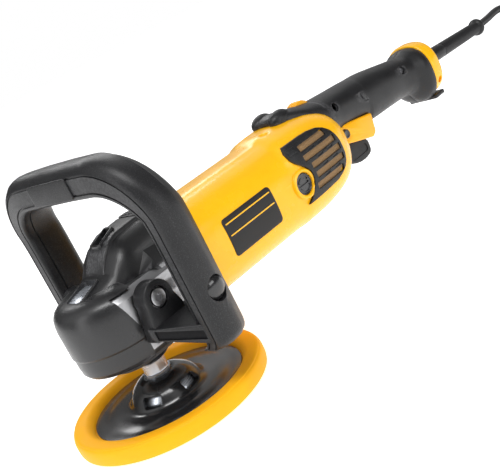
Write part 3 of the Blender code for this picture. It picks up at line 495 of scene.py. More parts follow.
def place_ring(obj, points, before=None):
    """Moves the selected ring of points onto new places, in the order of the ring it came from."""
    bm = bmesh.from_edit_mesh(obj.data)
    picked = [v for v in bm.verts if v.select]
    if before is None:
        picked.sort(key=lambda v: v.index)
        for vert, point in zip(picked, points):
            vert.co = point
    else:
        order = {place_key(p): i for i, p in enumerate(before)}
        for vert in picked:
            vert.co = points[order[place_key(vert.co)]]
    bmesh.update_edit_mesh(obj.data)


def pick_points(obj, points):
    wanted = {place_key(p) for p in points}
    bpy.ops.mesh.select_all(action="DESELECT")
    bm = bmesh.from_edit_mesh(obj.data)
    bm.verts.ensure_lookup_table()
    for vert in bm.verts:
        vert.select = place_key(vert.co) in wanted
    bm.select_flush(True)
    bmesh.update_edit_mesh(obj.data)


def as_float32(ring):
    """The ring's points as the mesh will store them, so that they can be found again."""
    return [tuple(Vector(p)) for p in ring]


def extrude_through(name, rings):
    """A ring extruded from station to station, closed at both ends, with its faces outwards."""
    rings = [as_float32(ring) for ring in rings]
    obj = start_ring(name, len(rings[0]))
    open_edit(obj)
    place_ring(obj, rings[0])
    for near, far in zip(rings, rings[1:]):
        bpy.ops.mesh.extrude_region_move()
        place_ring(obj, far, near)
    bpy.ops.mesh.edge_face_add()
    pick_points(obj, rings[0])
    bpy.ops.mesh.edge_face_add()
    close_edit()
    return obj


def spin_profile(name, profile, axis="Z", at=(0.0, 0.0, 0.0), steps=64):
    """A closed outline of (radius, height) spun about an axis through at."""
    obj = start_ring(name, len(profile))
    for vert, (radius, height) in zip(obj.data.vertices, profile):
        vert.co = (radius, 0.0, height)
    open_edit(obj)
    bpy.ops.mesh.spin(steps=steps, angle=2 * math.pi, center=(0, 0, 0), axis=(0, 0, 1))
    bpy.ops.mesh.select_all(action="SELECT")
    bpy.ops.mesh.remove_doubles(threshold=0.00001)
    bpy.ops.mesh.delete_loose()
    close_edit()
    turns = {"Z": (0, 0, 0), "X": (0, math.pi / 2, 0), "Y": (-math.pi / 2, 0, 0)}
    obj.rotation_euler = turns[axis]
    obj.location = at
    return settle(obj)


def rod(name, radius, low, high, axis, at, steps=40):
    """A cylinder along an axis. at is its place across that axis."""
    middle = (low + high) / 2
    turns = {"Z": (0, 0, 0), "X": (0, math.pi / 2, 0), "Y": (math.pi / 2, 0, 0)}
    places = {"X": (middle, at[0], at[1]), "Y": (at[0], middle, at[1]), "Z": (at[0], at[1], middle)}
    bpy.ops.object.select_all(action="DESELECT")
    bpy.ops.mesh.primitive_cylinder_add(
        vertices=steps, radius=radius, depth=abs(high - low), location=places[axis], rotation=turns[axis]
    )
    return settle(fresh(name))


def block(name, low, high, width=0.0, segments=2):
    """A box between two corners, with its edges bevelled."""
    bpy.ops.object.select_all(action="DESELECT")
    middle = [(a + b) / 2 for a, b in zip(low, high)]
    bpy.ops.mesh.primitive_cube_add(size=1.0, location=middle, scale=[abs(b - a) for a, b in zip(low, high)])
    obj = settle(fresh(name))
    return soften(obj, width, segments) if width else obj


def push_outline(name, outline, low, high, axis, width=0.0, segments=2):
    """A filled outline pushed along an axis, with its edges bevelled."""
    place = {
        "X": lambda a, b, c: (c, a, b),
        "Y": lambda a, b, c: (a, c, b),
        "Z": lambda a, b, c: (a, b, c),
    }[axis]
    obj = start_ring(name, len(outline), "NGON")
    for vert, (a, b) in zip(obj.data.vertices, outline):
        vert.co = place(a, b, low)
    open_edit(obj)
    step = Vector(place(0, 0, high)) - Vector(place(0, 0, low))
    bpy.ops.mesh.extrude_region_move(TRANSFORM_OT_translate={"value": step})
    close_edit()
    return soften(obj, width, segments) if width else obj


def refined(name, node, width, segments=2):
    """A copy of a CAD node with its doubles merged and its edges bevelled."""
    bpy.ops.object.select_all(action="DESELECT")
    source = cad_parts[node]
    obj = bpy.data.objects.new(name, source.data.copy())
    bpy.context.scene.collection.objects.link(obj)
    obj.data.materials.clear()
    open_edit(obj)
    bpy.ops.mesh.remove_doubles(threshold=0.00001)
    bpy.ops.mesh.dissolve_limited(angle_limit=math.radians(1.0))
    bpy.ops.object.mode_set(mode="OBJECT")
    return soften(obj, width, segments, 40) if width else obj


def rounded(low, high, radius, steps=5):
    """A rectangle with round corners, as an outline."""
    corners = [
        (high[0] - radius, high[1] - radius, 0), (low[0] + radius, high[1] - radius, 90),
        (low[0] + radius, low[1] + radius, 180), (high[0] - radius, low[1] + radius, 270),
    ]
    points = []
    for a, b, start in corners:
        for i in range(steps + 1):
            angle = math.radians(start + 90 * i / steps)
            points.append((a + radius * math.cos(angle), b + radius * math.sin(angle)))
    return points


def oval(x, half_y, low, high, power=2.6, count=32):
    """A rounded section across X between two heights."""
    points = []
    for i in range(count):
        c = math.cos(2 * math.pi * i / count)
        s = math.sin(2 * math.pi * i / count)
        y = half_y * math.copysign(abs(c) ** (2 / power), c)
        z = (low + high) / 2 + (high - low) / 2 * math.copysign(abs(s) ** (2 / power), s)
        points.append((x, y, z))
    return points


def done(obj, body, finish, slot, *nodes, angle=35):
    """Shades a finished piece, gives it its material, and hands it to the frame."""
    only(obj)
    bpy.ops.object.shade_smooth_by_angle(angle=math.radians(angle))
    obj.data.materials.clear()
    obj.data.materials.append(FINISHES[finish])
    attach(obj, body)
    if nodes:
        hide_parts(*nodes)
    return obj


def spans(x, y, z):
    """Two opposite corners of a box, from its three spans in either order."""
    return [min(x), min(y), min(z)], [max(x), max(y), max(z)]


# Stage


CAMERA_PLACE = (-0.36891, -0.65042, 0.31163)
CAMERA_TURN = math.radians(-38.858)
CAMERA_TILT = math.radians(15.84)
CAMERA_ROLL = math.radians(-26.198)
CAMERA_LENS = 66.94
STUDIO_LIGHTS = [
    ("key_light", (-0.5, -0.6, 1.5), (0.15, 0.0, 0.1), (0.9, 0.5), 14.5),
    ("side_light", (-1.4, 0.1, 0.6), (0.1, 0.0, 0.1), (0.35, 1.2), 5.0),
    ("rear_light", (0.7, 1.2, 1.1), (0.15, 0.0, 0.1), (1.2, 0.3), 7.0),
    ("front_light", (0.5, -1.5, 0.5), (0.2, 0.0, 0.1), (0.8, 0.3), 3.5),
]


class POLISHER_OT_stage(bpy.types.Operator):
    """Sets the camera, the pale floor and the soft studio lights"""

    bl_idname = "polisher.stage"
    bl_label = "Stage and Lights"

    def execute(self, context):
        scene = context.scene
        camera = bpy.data.objects.new("camera", bpy.data.cameras.new("camera"))
        scene.collection.objects.link(camera)
        place = Vector(CAMERA_PLACE)
        back = Vector((
            math.sin(CAMERA_TURN) * math.cos(CAMERA_TILT),
            -math.cos(CAMERA_TURN) * math.cos(CAMERA_TILT),
            math.sin(CAMERA_TILT),
        ))
        right = (-back).cross(Vector((0, 0, 1))).normalized()
        up = right.cross(-back)
        c, s = math.cos(CAMERA_ROLL), math.sin(CAMERA_ROLL)
        across, above = c * right + s * up, c * up - s * right
        camera.matrix_world = Matrix((
            (across.x, above.x, back.x, place.x),
            (across.y, above.y, back.y, place.y),
            (across.z, above.z, back.z, place.z),
            (0, 0, 0, 1),
        ))
        camera.data.lens = CAMERA_LENS
        camera.data.sensor_width = 36.0
        camera.data.clip_start = 0.01
        scene.camera = camera
        size = scene.polisher_sizes.floor_size
        bpy.ops.object.select_all(action="DESELECT")
        bpy.ops.mesh.primitive_plane_add(size=size)
        floor = fresh("studio_floor")
        floor.data.materials.append(floor_material(scene.polisher_colours.floor))
        for name, spot, aim, side, power in STUDIO_LIGHTS:
            lamp = bpy.data.lights.new(name, "AREA")
            lamp.shape = "RECTANGLE"
            lamp.size, lamp.size_y = side
            lamp.energy = power
            obj = bpy.data.objects.new(name, lamp)
            scene.collection.objects.link(obj)
            obj.location = spot
            obj.rotation_euler = (Vector(aim) - Vector(spot)).to_track_quat("-Z", "Y").to_euler()
        world = bpy.data.worlds.new("studio")
        scene.world = world
        world.use_nodes = True
        sky(world.node_tree)
        scene.view_settings.view_transform = "Standard"
        return {"FINISHED"}


def sky(tree):
    """A white room that turns darker below the horizon and in bands, so that gloss has something to show."""
    ground = tree.nodes["Background"]
    place = tree.nodes.new("ShaderNodeTexCoord").outputs["Generated"]
    parts = add_node(tree, "ShaderNodeSeparateXYZ", Vector=place)
    height = map_range(tree, parts.outputs[2], -0.15, 0.85, 0.12, 0.95)
    turn = math_node(tree, "ARCTAN2", parts.outputs[1], parts.outputs[0])
    wave = math_node(tree, "SINE", math_node(tree, "MULTIPLY", turn, 3.0))
    band = map_range(tree, wave, -0.3, 0.6, 0.3, 1.05)
    room = math_node(tree, "MULTIPLY", height, band)
    seen = tree.nodes.new("ShaderNodeLightPath").outputs["Is Camera Ray"]
    strength = tree.nodes.new("ShaderNodeMix")
    strength.data_type = "FLOAT"
    tree.links.new(seen, strength.inputs[0])
    tree.links.new(room, strength.inputs[2])
    strength.inputs[3].default_value = 1.0
    tree.links.new(strength.outputs[0], ground.inputs["Strength"])
    ground.inputs["Color"].default_value = (1.0, 1.0, 1.0, 1.0)


def floor_material(colour):
    tree, shader, place = start_material("studio floor")
    noise = add_node(tree, "ShaderNodeTexNoise", Vector=place, Scale=5.0, Detail=2.0)
    tone = map_range(tree, noise.outputs[0], 0.3, 0.7, 0.99, 1.0)
    tinted = mix_colours(tree, 1.0, (*colour, 1.0), grey(tree, tone), "MULTIPLY")
    tree.links.new(tinted, shader.inputs["Base Color"])
    shader.inputs["Roughness"].default_value = 0.75
    shader.inputs["Emission Color"].default_value = (1.0, 1.0, 1.0, 1.0)
    shader.inputs["Emission Strength"].default_value = 0.62
    return FINISHES["studio floor"]


def turned(name, profile, x, z, steps, side):
    """A piece turned about an axis across the machine, and faced to its side."""
    return face_side(spin_profile(name, profile, "Y", (x, 0, z), steps), side)


def face_side(obj, side):
    """Turns a piece that was made on one side of the middle plane over to the side it belongs on."""
    if (sum(v.co.y for v in obj.data.vertices) > 0) == (side > 0):
        return obj
    only(obj)
    obj.scale.y = -1
    settle(obj)
    open_edit(obj)
    close_edit()
    return obj


# Cord

LEAD_ROUTE = [
    (0.6241, 0.0, 0.1015), (0.648, 0.0, 0.1022), (0.676, -0.0015, 0.1035), (0.703, -0.008, 0.096),
    (0.729, -0.022, 0.075), (0.752, -0.0395, 0.052), (0.773, -0.0525, 0.0424), (0.796, -0.0588, 0.0414),
]
TAIL_ROUTE = [(0.8, -0.069, 0.006), (0.818, -0.071, 0.0068), (0.836, -0.0745, 0.0082)]
PLUG_ENTRY = (0.838, -0.0749, 0.0084)
COIL_X = 0.8
COIL_RADII = (0.0588, 0.05, 0.0412)
COIL_LAYERS = (0.032, 0.0232, 0.0144, 0.0056)
CHANGE_ARC = math.radians(64)


def along(points, per_span):
    """A smooth curve through the route's points, as a Catmull-Rom spline."""
    points = [Vector(p) for p in points]
    ends = [2 * points[0] - points[1]] + points + [2 * points[-1] - points[-2]]
    out = []
    for a, b, c, d in zip(ends, ends[1:], ends[2:], ends[3:]):
        for i in range(per_span):
            t = i / per_span
            square = 2 * a - 5 * b + 4 * c - d
            cube = 3 * b - a - 3 * c + d
            out.append(0.5 * (2 * b + (c - a) * t + square * t**2 + cube * t**3))
    return out + [points[-1]]


def ease(t):
    t = min(max(t, 0.0), 1.0)
    return t * t * (3 - 2 * t)


def coil_route(per_turn=36):
    """Twelve turns in four layers, each change of slot over the same arc."""
    slots = []
    for k, height in enumerate(COIL_LAYERS):
        radii = COIL_RADII if k % 2 == 0 else COIL_RADII[::-1]
        slots += [(radius, height) for radius in radii]
    before = [(COIL_RADII[0], LEAD_ROUTE[-1][2])] + slots[:-1]
    points = []
    for turn, (near, far) in enumerate(zip(before, slots)):
        for i in range(per_turn):
            angle = 2 * math.pi * i / per_turn
            t = ease(angle / CHANGE_ARC)
            radius = near[0] + (far[0] - near[0]) * t
            height = near[1] + (far[1] - near[1]) * t
            if turn == len(slots) - 1:
                out = ease((angle - 2 * math.pi + 1.5) / 1.5)
                radius += (-TAIL_ROUTE[0][1] - far[0]) * out
                height += (TAIL_ROUTE[0][2] - far[1]) * out
            points.append(Vector((COIL_X + radius * math.sin(angle), -radius * math.cos(angle), height)))
    return points


class POLISHER_OT_cord(bpy.types.Operator):
    """Lays the cord, with its strain relief, its tie and its plug"""

    bl_idname = "polisher.cord"
    bl_label = "Cord and Plug"

    def execute(self, context):
        sizes = context.scene.polisher_sizes
        curve = bpy.data.curves.new("power_cord", "CURVE")
        curve.dimensions = "3D"
        curve.bevel_depth = sizes.cord_diameter / 2
        curve.bevel_resolution = 3
        curve.use_fill_caps = True
        route = along(LEAD_ROUTE, 6)[:-1] + coil_route() + along(TAIL_ROUTE, 4) + [Vector(PLUG_ENTRY)]
        spline = curve.splines.new("POLY")
        spline.points.add(len(route) - 1)
        for spot, point in zip(spline.points, route):
            spot.co = (*point, 1)
        spline.use_smooth = True
        cord = bpy.data.objects.new("power_cord", curve)
        context.scene.collection.objects.link(cord)
        curve.materials.append(FINISHES["cord jacket"])
        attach(cord, "body")
        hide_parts("cord_lead", "cord_coil", "cord_tail")
        plug = make_plug()
        tie = make_tie()
        make_relief()
        return {"FINISHED"}


def make_relief():
    """A tapered sleeve with rings cut into it, thick where it leaves the machine."""
    axis = RELIEF_END - RELIEF_START
    length = axis.length
    profile = [(0.0046, 0.0), (0.009, 0.0), (0.0089, length * 0.15), (0.0086, length * 0.3)]
    for start, inset in ((0.34, 0.0), (0.345, 0.0005), (0.355, 0.0005), (0.36, 0.0)):
        profile.append((0.009 - 0.0015 * start - inset, length * start))
    profile += [
        (0.0074, length - 0.008), (0.0098, length - 0.0068), (0.0103, length - 0.005),
        (0.0102, length - 0.003), (0.009, length - 0.0003), (0.006, length), (0.0046, length),
    ]
    relief = spin_profile("strain_relief_sleeve", profile, steps=40)
    turn = axis.to_track_quat("Z", "Y").to_matrix().to_4x4()
    relief.matrix_world = Matrix.Translation(RELIEF_START) @ turn
    settle(relief)
    soften(relief, 0.00025, 1, 30)
    done(relief, "body", "grip rubber", "cord_rubber", "strain_relief")


def make_plug():
    """A moulded two-pin plug with grip ribs down its sides."""
    x, y, z = TAIL_ROUTE[-1]
    start = x + 0.0012
    sections = mm([
        (0, -5.8, -5.8, 5.8, 5.8), (10, -6.6, -6.6, 6.6, 6.8), (15, -9, -7.4, 9, 8.6),
        (20, -12.8, -7.7, 12.8, 9.3), (35.6, -12.9, -7.7, 12.9, 9.4), (36, -12.4, -7.2, 12.4, 8.9),
    ])
    rings = [
        [(start + at, y + a, z + b) for a, b in rounded((left, low), (right, high), 0.0042, 4)]
        for at, left, low, right, high in sections
    ]
    plug = extrude_through("plug_body", rings)
    for side in (-1, 1):
        for i in range(4):
            low_x = start + 0.0215 + 0.0034 * i
            reach = (y + side * 0.0121, y + side * 0.014)
            carve(plug, block("grip_cut", *spans((low_x, low_x + 0.0014), reach, (z - 0.006, z + 0.0078))))
    for i in range(3):
        low_x = start + 0.0022 + 0.0032 * i
        ring = spin_profile(
            "relief_cut", mm([(5.4, -0.7), (10, -0.7), (10, 0.7), (5.4, 0.7)]), "X",
            (low_x, y, z), 32,
        )
        carve(plug, ring)
    soften(plug, 0.0003, 2, 35)
    done(plug, "body", "cord jacket", "cord_rubber", "plug")
    tip = start + 0.036
    pins = None
    for side in (-1, 1):
        at = (y + side * 0.0064, z + 0.0008)
        blade = rounded((-0.0008, -0.0032), (0.0008, 0.0032), 0.0007, 3)
        outline = [(at[0] + a, at[1] + b) for a, b in blade]
        pin = push_outline("plug_pins", outline, tip - 0.002, tip + 0.018, "X", 0.0003)
        carve(pin, rod("pin_hole", 0.0013, at[0] - 0.003, at[0] + 0.003, "Y", (tip + 0.014, at[1]), 20))
        pins = pin if pins is None else unite(pins, pin)
    done(pins, "body", "brass sheet", "brass")
    pins.parent = plug
    return plug


def make_tie():
    x = COIL_X + 0.05
    z = 0.0189
    thick = 0.0009
    outer = rounded((x - 0.016, 0.0), (x + 0.016, 2 * z), 0.011, 8)
    inner = rounded((x - 0.016 + thick, thick), (x + 0.016 - thick, 2 * z - thick), 0.0101, 8)
    strap = push_outline("tie_strap", outer, -0.006, 0.006, "Y", 0.0002, 1)
    carve(strap, push_outline("tie_room", inner, -0.01, 0.01, "Y"))
    done(strap, "body", "strap nylon", "black_plastic", "cord_tie")
    return strap


# Pad and spindle


HUB_WINDOWS = 5
HUB_WINDOW_TURN = 64


class POLISHER_OT_pad(bpy.types.Operator):
    """Turns the yellow backing pad, its black disc with the windowed hub, and the hub nut"""

    bl_idname = "polisher.pad"
    bl_label = "Pad and Hub"

    def execute(self, context):
        radius = context.scene.polisher_sizes.pad_radius
        edge = mm([
            (2.5, 0.4), (0.8, 1.4), (0.2, 3.5), (0, 7), (0, 10), (0.4, 12.2), (1.2, 14.1), (1.8, 14.8),
            (2.2, 15), (2.4, 15.7), (3.4, 16.3), (5, 16.5), (11.8, 16.5), (13.6, 16.1), (15.2, 15.2),
            (16.8, 13.8), (18.3, 11.6), (19.1, 9.6),
        ])
        rim = [
            *mm([(0, 0), (30, 0), (83, 0)]), *((radius - inset, height) for inset, height in edge),
            *mm([(69.6, 8.5), (40, 8.5), (0, 8.5)]),
        ]
        foam = spin_profile("backing_pad", rim, steps=180)
        done(foam, "spindle_assembly", "pad rim", "pad_foam", "pad_foam", angle=40)
        face = mm([
            (29, 8.8), (68.6, 8.8), (69, 9.2), (69, 9.9), (68.6, 10.3), (62, 10.5), (56, 10.6), (55.2, 10.9),
            (45, 11.2), (40, 11.4), (36.2, 11.9), (34.5, 13.2), (33, 15.5), (31.2, 18.7), (28.6, 22.2),
            (25, 25.4), (20.5, 28.2), (16.8, 29.7), (14, 30), (12.4, 29.9), (12.2, 29), (12.2, 27.7),
            (16, 26.8), (20, 24.7), (23.5, 22.2), (26.5, 19), (28.2, 15.5), (29, 12),
        ])
        disc = spin_profile("backing_disc_face", face, steps=180)
        for i in range(HUB_WINDOWS):
            angle = math.radians(HUB_WINDOW_TURN + 360 // HUB_WINDOWS * i)
            outline = rounded((-0.0088, 0.0142), (0.0088, 0.0226), 0.0022, 4)
            cutter = push_outline("window_cut", outline, 0.015, 0.042, "X", 0.0)
            cutter.rotation_euler.z = angle
            settle(cutter)
            carve(disc, cutter)
        soften(disc, 0.0005, 2, 38)
        done(disc, "spindle_assembly", "gloss black", "black_plastic", "backing_disc", angle=32)
        hub = mm([
            (8, 9.2), (27.4, 9.2), (27.4, 11.8), (26.2, 15), (24, 18.6), (20.5, 22.2), (16.5, 24.6),
            (13, 25.8), (11.8, 26.4), (11.8, 30.9), (8, 30.9),
        ])
        nut = spin_profile("hub_core", hub, steps=120)
        done(nut, "spindle_assembly", "polished steel", "steel", "hub_nut")
        return {"FINISHED"}


NODE_FINISHES = {
    "gear steel": ("second_shaft", "second_gear"),
    "polished steel": (
        "armature_shaft", "armature_bearing_front", "armature_bearing_rear", "second_shaft_bearing",
        "spindle_bearing_lower", "spindle_bearing_upper",
    ),
    "sheet steel": ("armature_core",),
    "copper bars": ("commutator",),
    "glass filled plastic": ("fan",),
    "cast alloy": ("bearing_plate",),
    "brass sheet": ("brush_holder_left", "brush_holder_right"),
    "pressed carbon": ("brush_left", "brush_right", "switch_module"),
    "black oxide steel": ("case_screw_1", "case_screw_2", "case_screw_3", "case_screw_4"),
    "painted core": ("stator",),
}


class POLISHER_OT_spindle(bpy.types.Operator):
    """Turns the polished spindle collar, and finishes the gears inside the case"""

    bl_idname = "polisher.spindle"
    bl_label = "Spindle and Gears"

    def execute(self, context):
        collar = mm([
            (0, 9.2), (7.4, 9.2), (7.8, 9.6), (7.8, 31.2), (11.8, 31.2), (12.2, 31.5), (12.2, 32.2),
            (11.8, 32.5), (10.9, 32.7), (10.8, 33.2), (10.8, 42.4), (11.2, 42.7), (12, 43), (12.2, 43.3),
            (12.2, 43.8), (11.9, 44), (8.5, 44), (8.5, 88.5), (4.8, 88.5), (4.8, 98.2), (4.5, 98.5),
            (0, 98.5),
        ])
        shaft = spin_profile("spindle_shaft", collar, steps=96)
        for side in (-1, 1):
            corners = spans((-0.02, 0.02), (side * 0.0101, side * 0.013), (0.0345, 0.0405))
            carve(shaft, block("flat_cut", *corners))
        done(shaft, "spindle_assembly", "polished steel", "steel", "spindle")
        ring = spin_profile("lower_retainer", mm([
            (9.6, 44.6), (15, 44.6), (15.6, 44.9), (20.5, 48.8), (21, 49.7), (9.6, 49.7),
        ]), steps=64)
        done(ring, "body", "glass filled plastic", "aluminium", "spindle_retainer")
        gear = refined("crown_gear", "bevel_gear", 0.00025, 1)
        done(gear, "spindle_assembly", "gear steel", "steel", "bevel_gear")
        for finish, nodes in NODE_FINISHES.items():
            for node in nodes:
                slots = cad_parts[node].material_slots
                if not slots:
                    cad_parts[node].data.materials.append(FINISHES[finish])
                for slot in slots:
                    slot.material = FINISHES[finish]
        return {"FINISHED"}


# Gear case and its boot

NOSE_X = -0.011
CASE_MIDDLE = 0.09


def stadium(radius, rear, z, steps=32):
    """A half-round nose with straight sides back to rear, at height z."""
    points = []
    for i in range(steps + 1):
        angle = math.pi / 2 + math.pi * i / steps
        points.append((NOSE_X + radius * math.cos(angle), radius * math.sin(angle), z))
    return points + [(rear, -radius, z), (rear, radius, z)]


def disc_ring(x, radius, z, count=72):
    turns = [2 * math.pi * i / count for i in range(count)]
    return [(x, radius * math.cos(a), z + radius * math.sin(a)) for a in turns]


def case_body(name, grow, steps=32):
    """The round-nosed part of the case, with its underside drawn in towards the spindle."""
    rows = mm([(21.5, 50), (33, 56.2), (40.5, 60.6), (44, 65), (44, 112), (38, 118)])
    return extrude_through(name, [
        stadium(radius + grow, CASE_REAR, z + math.copysign(grow, z - CASE_MIDDLE), steps)
        for radius, z in rows
    ])


def case_barrel(grow, count=72, rear=0.0637):
    return extrude_through("case_barrel", [
        disc_ring(-0.012, 0.026 + grow, 0.092, count), disc_ring(0.024, BARREL_RADIUS + grow, AXIS_Z, count),
        disc_ring(rear, BARREL_RADIUS + grow, AXIS_Z, count),
    ])


SCREW_REACH = abs(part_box("case_screw_1")[0].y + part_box("case_screw_1")[1].y) / 2


def screw_holes(obj, low, high):
    """Drills the four case screws' holes."""
    for across in (-1, 1):
        for up in (-1, 1):
            at = (across * SCREW_REACH, AXIS_Z + up * SCREW_REACH)
            carve(obj, rod("screw_hole", 0.0023, low, high, "X", at, 20))


def dial_room():
    """The cutter that makes room for the speed dial."""
    return rod("dial_room", DIAL_RADIUS + 0.0008, -0.007, 0.007, "Y", (DIAL_X, DIAL_Z), 48)


class POLISHER_OT_gear_case(bpy.types.Operator):
    """Cuts the aluminium gear case, its bearing seats, the holes for the bail's bolts and the steps in its
    sides
    """

    bl_idname = "polisher.gear_case"
    bl_label = "Gear Case"

    def execute(self, context):
        case = unite(case_body("gear_case_casting", 0.0), case_barrel(0.0))
        soften(case, 0.0012, 3, 40)
        room = extrude_through("case_room", [stadium(0.0405, 0.038, z) for z in (0.0595, 0.114)])
        drum = rod("case_drum", 0.0385, 0.02, 0.07, "X", (0, AXIS_Z), 64)
        seat = rod("lower_seat", 0.0153, 0.04, 0.062, "Z", (0, 0), 64)
        carve(case, room, drum, seat)
        boss = spin_profile("upper_boss", mm([
            (9.8, 89.5), (12.2, 89.5), (12.2, 116), (0, 116), (0, 99), (9.8, 99),
        ]), steps=48)
        unite(case, boss)
        carve(case, rod("pin_hole", 0.0026, 0.13, 0.15, "Z", PIN_AT, 24))
        screw_holes(case, 0.056, 0.07)
        for side in (-1, 1):
            carve(case, rod("bail_hole", 0.0043, side * 0.038, side * 0.05, "Y", (EAR_X, EAR_Z), 24))
            for low, high in ((0.056, 0.06), (0.066, 0.07)):
                corners = spans((-0.006, 0.035), (side * 0.0434, side * 0.05), (low, high))
                carve(case, block("side_step", *corners))
        done(case, "body", "cast alloy", "aluminium", "gear_case", angle=30)
        return {"FINISHED"}


class POLISHER_OT_boot(bpy.types.Operator):
    """Shapes the rubber boot over the gear case, with its slots, its frames and the lock button"""

    bl_idname = "polisher.boot"
    bl_label = "Boot and Lock Button"

    def execute(self, context):
        boot = extrude_through("gear_case_boot", [stadium(radius, BOOT_REAR, z) for radius, z in mm([
            (39.2, 58.8), (42, 59.6), (44.6, 63.2), (45.4, 70), (45.5, 77.5), (46.6, 79.2), (46.6, 103),
            (46, 108.5), (44.6, 114), (42, 117.8), (37.6, 120.8), (30, 123),
        ])])
        hump_rows = mm([
            (-40, 17, 121), (-13.5, 26.5, 128.5), (-8, 28.5, 131), (1, 31.2, 142.5), (9, 32.5, 149),
            (18, 33.1, 152.1), (38, 34, 154), (62.5, 34, 152.6),
        ])
        hump = extrude_through("boot_hump", [
            oval(x, half, 0.09, top, power, 64)
            for (x, half, top), power in zip(hump_rows, (4.0, 3.8, 3.6, 3.2, 3.0, 2.8, 2.8, 2.8))
        ])
        skirt = extrude_through("boot_skirt", [
            disc_ring(-0.016, 0.0262, 0.092, 56), disc_ring(0.022, 0.0463, AXIS_Z, 56),
            disc_ring(0.0624, 0.0463, AXIS_Z, 56),
        ])
        carve(skirt, block("skirt_cut", (-0.05, -0.06, 0.04), (0.08, 0.06, 0.1182)), solver="MANIFOLD")
        unite(boot, hump, skirt, solver="MANIFOLD")
        strip = extrude_through("boot_strip", [self.strip_ring(*row) for row in mm([
            (-9, 12.8, 130.5), (-7, 13.2, 134.5), (0.5, 13.8, 144), (8.5, 14.2, 150.5), (18, 14.6, 154),
            (42, 15, 155.6), (58, 15, 154.3),
        ])])
        unite(boot, strip, solver="MANIFOLD")
        inside = (case_body("body_clearance", CLEARANCE, 27), case_barrel(CLEARANCE, 50, 0.07))
        carve(boot, *inside, solver="MANIFOLD")
        flank = mm([(-29.2, 118.2), (-20.2, 88.5), (-17.9, 50), (70, 50), (70, 118.2)])
        for side in (-1, 1):
            carve(boot, push_outline("flank_cut", flank, *ends(side, 0.033, 0.06), "Y"), solver="MANIFOLD")
        soften(boot, 0.0011, 3, 24)
        nose = push_outline(
            "nose_slot", rounded((-0.0392, -0.0098), (-0.0142, 0.0098), 0.0032, 6), 0.115, 0.15, "Z"
        )
        window = push_outline(
            "hump_slot", rounded((0.005, -0.0052), (0.0235, 0.0052), 0.0016, 5), 0.14, 0.17, "Z"
        )
        pocket = push_outline(
            "button_pocket", rounded((0.0438, -0.0166), (0.0577, 0.0166), 0.005, 6), 0.148, 0.17, "Z"
        )
        pin_hole = rod("button_pin_hole", 0.0026, 0.135, 0.16, "Z", PIN_AT, 24)
        carve(boot, nose, window, pocket, pin_hole, solver="MANIFOLD")
        done(boot, "body", "boot rubber", "grey_rubber", "gear_case_cover", angle=30)
        self.frames()
        self.inserts()
        self.button()
        return {"FINISHED"}

    @staticmethod
    def strip_ring(x, half, top):
        low = 0.118
        return [
            (x, -half - 0.0012, low), (x, half + 0.0012, low), (x, half + 0.0004, top - 0.002),
            (x, half - 0.0004, top - 0.0005), (x, half - 0.0014, top), (x, -half + 0.0014, top),
            (x, -half + 0.0004, top - 0.0005), (x, -half - 0.0004, top - 0.002),
        ]

    @staticmethod
    def frames():
        """Raised rims round the two slots, tilted as the boot's top is."""
        for name, outer, inner, at, tilt in (
            (
                "nose_slot_rim", rounded((-0.0146, -0.0121), (0.0146, 0.0121), 0.0045, 7),
                rounded((-0.0127, -0.0101), (0.0127, 0.0101), 0.0032, 7), (-0.0267, 0.0, 0.1247), -16.0,
            ),
            (
                "hump_slot_rim", rounded((-0.0112, -0.0066), (0.0112, 0.0066), 0.0026, 6),
                rounded((-0.0096, -0.005), (0.0096, 0.005), 0.0016, 6), (0.014, 0.0, 0.1528), -20.0,
            ),
        ):
            rim = push_outline(name, outer, -0.003, 0.0014, "Z", 0.0007, 3)
            carve(rim, push_outline("rim_room", inner, -0.01, 0.01, "Z"))
            rim.rotation_euler.y = math.radians(tilt)
            rim.location = at
            settle(rim)
            done(rim, "body", "boot rubber", "grey_rubber")

    @staticmethod
    def inserts():
        """The bright casting seen through the slots."""
        for name, low, high, crown in (
            ("nose_slot_casting", (-0.039, -0.0096), (-0.0144, 0.0096), (0.116, 0.121, 0.004)),
            ("hump_slot_casting", (0.0052, -0.005), (0.0233, 0.005), (0.1402, 0.144, 0.005)),
        ):
            rings = []
            count = 9
            for i in range(count):
                t = i / (count - 1)
                x = low[0] + (high[0] - low[0]) * t
                top = crown[1] + crown[2] * t + 0.0014 * math.sin(math.pi * t)
                corners = ((low[1], crown[0]), (high[1], crown[0]), (high[1], top), (low[1], top))
                rings.append([(x, y, z) for y, z in corners])
            piece = extrude_through(name, rings)
            soften(piece, 0.0005, 2, 50)
            done(piece, "body", "polished steel", "aluminium")

    @staticmethod
    def button():
        outline = rounded((0.0445, -0.016), (0.057, 0.016), 0.0046, 8)
        button = push_outline("lock_button_cap", outline, 0.1518, 0.1562, "Z", 0.0009, 3)
        for i in range(7):
            y = -0.0108 + 0.0036 * i
            rib = block("button_rib", (0.0468, y - 0.0009, 0.1545), (0.0547, y + 0.0009, 0.1568), 0.0005, 2)
            unite(button, rib)
        unite(button, rod("lock_pin", 0.002, 0.137, 0.153, "Z", PIN_AT, 24))
        done(button, "spindle_lock", "grip rubber", "grey_rubber", "lock_button")


# Bail handle

BAIL_HALF = 0.108
BAIL_TOP = 0.2235
BAIL_CORNER = 0.06
BAIL_GROOVE_DEPTH = 0.0088


BAIL_ARM = mm([
    (52, 7.5), (52.8, 4.8), (54.5, 2.6), (57, 1), (60, 0.2), (64, 0), (76, 0), (90, 0), (108, 0), (125, 0),
    (140, 0), (154, 0),
])


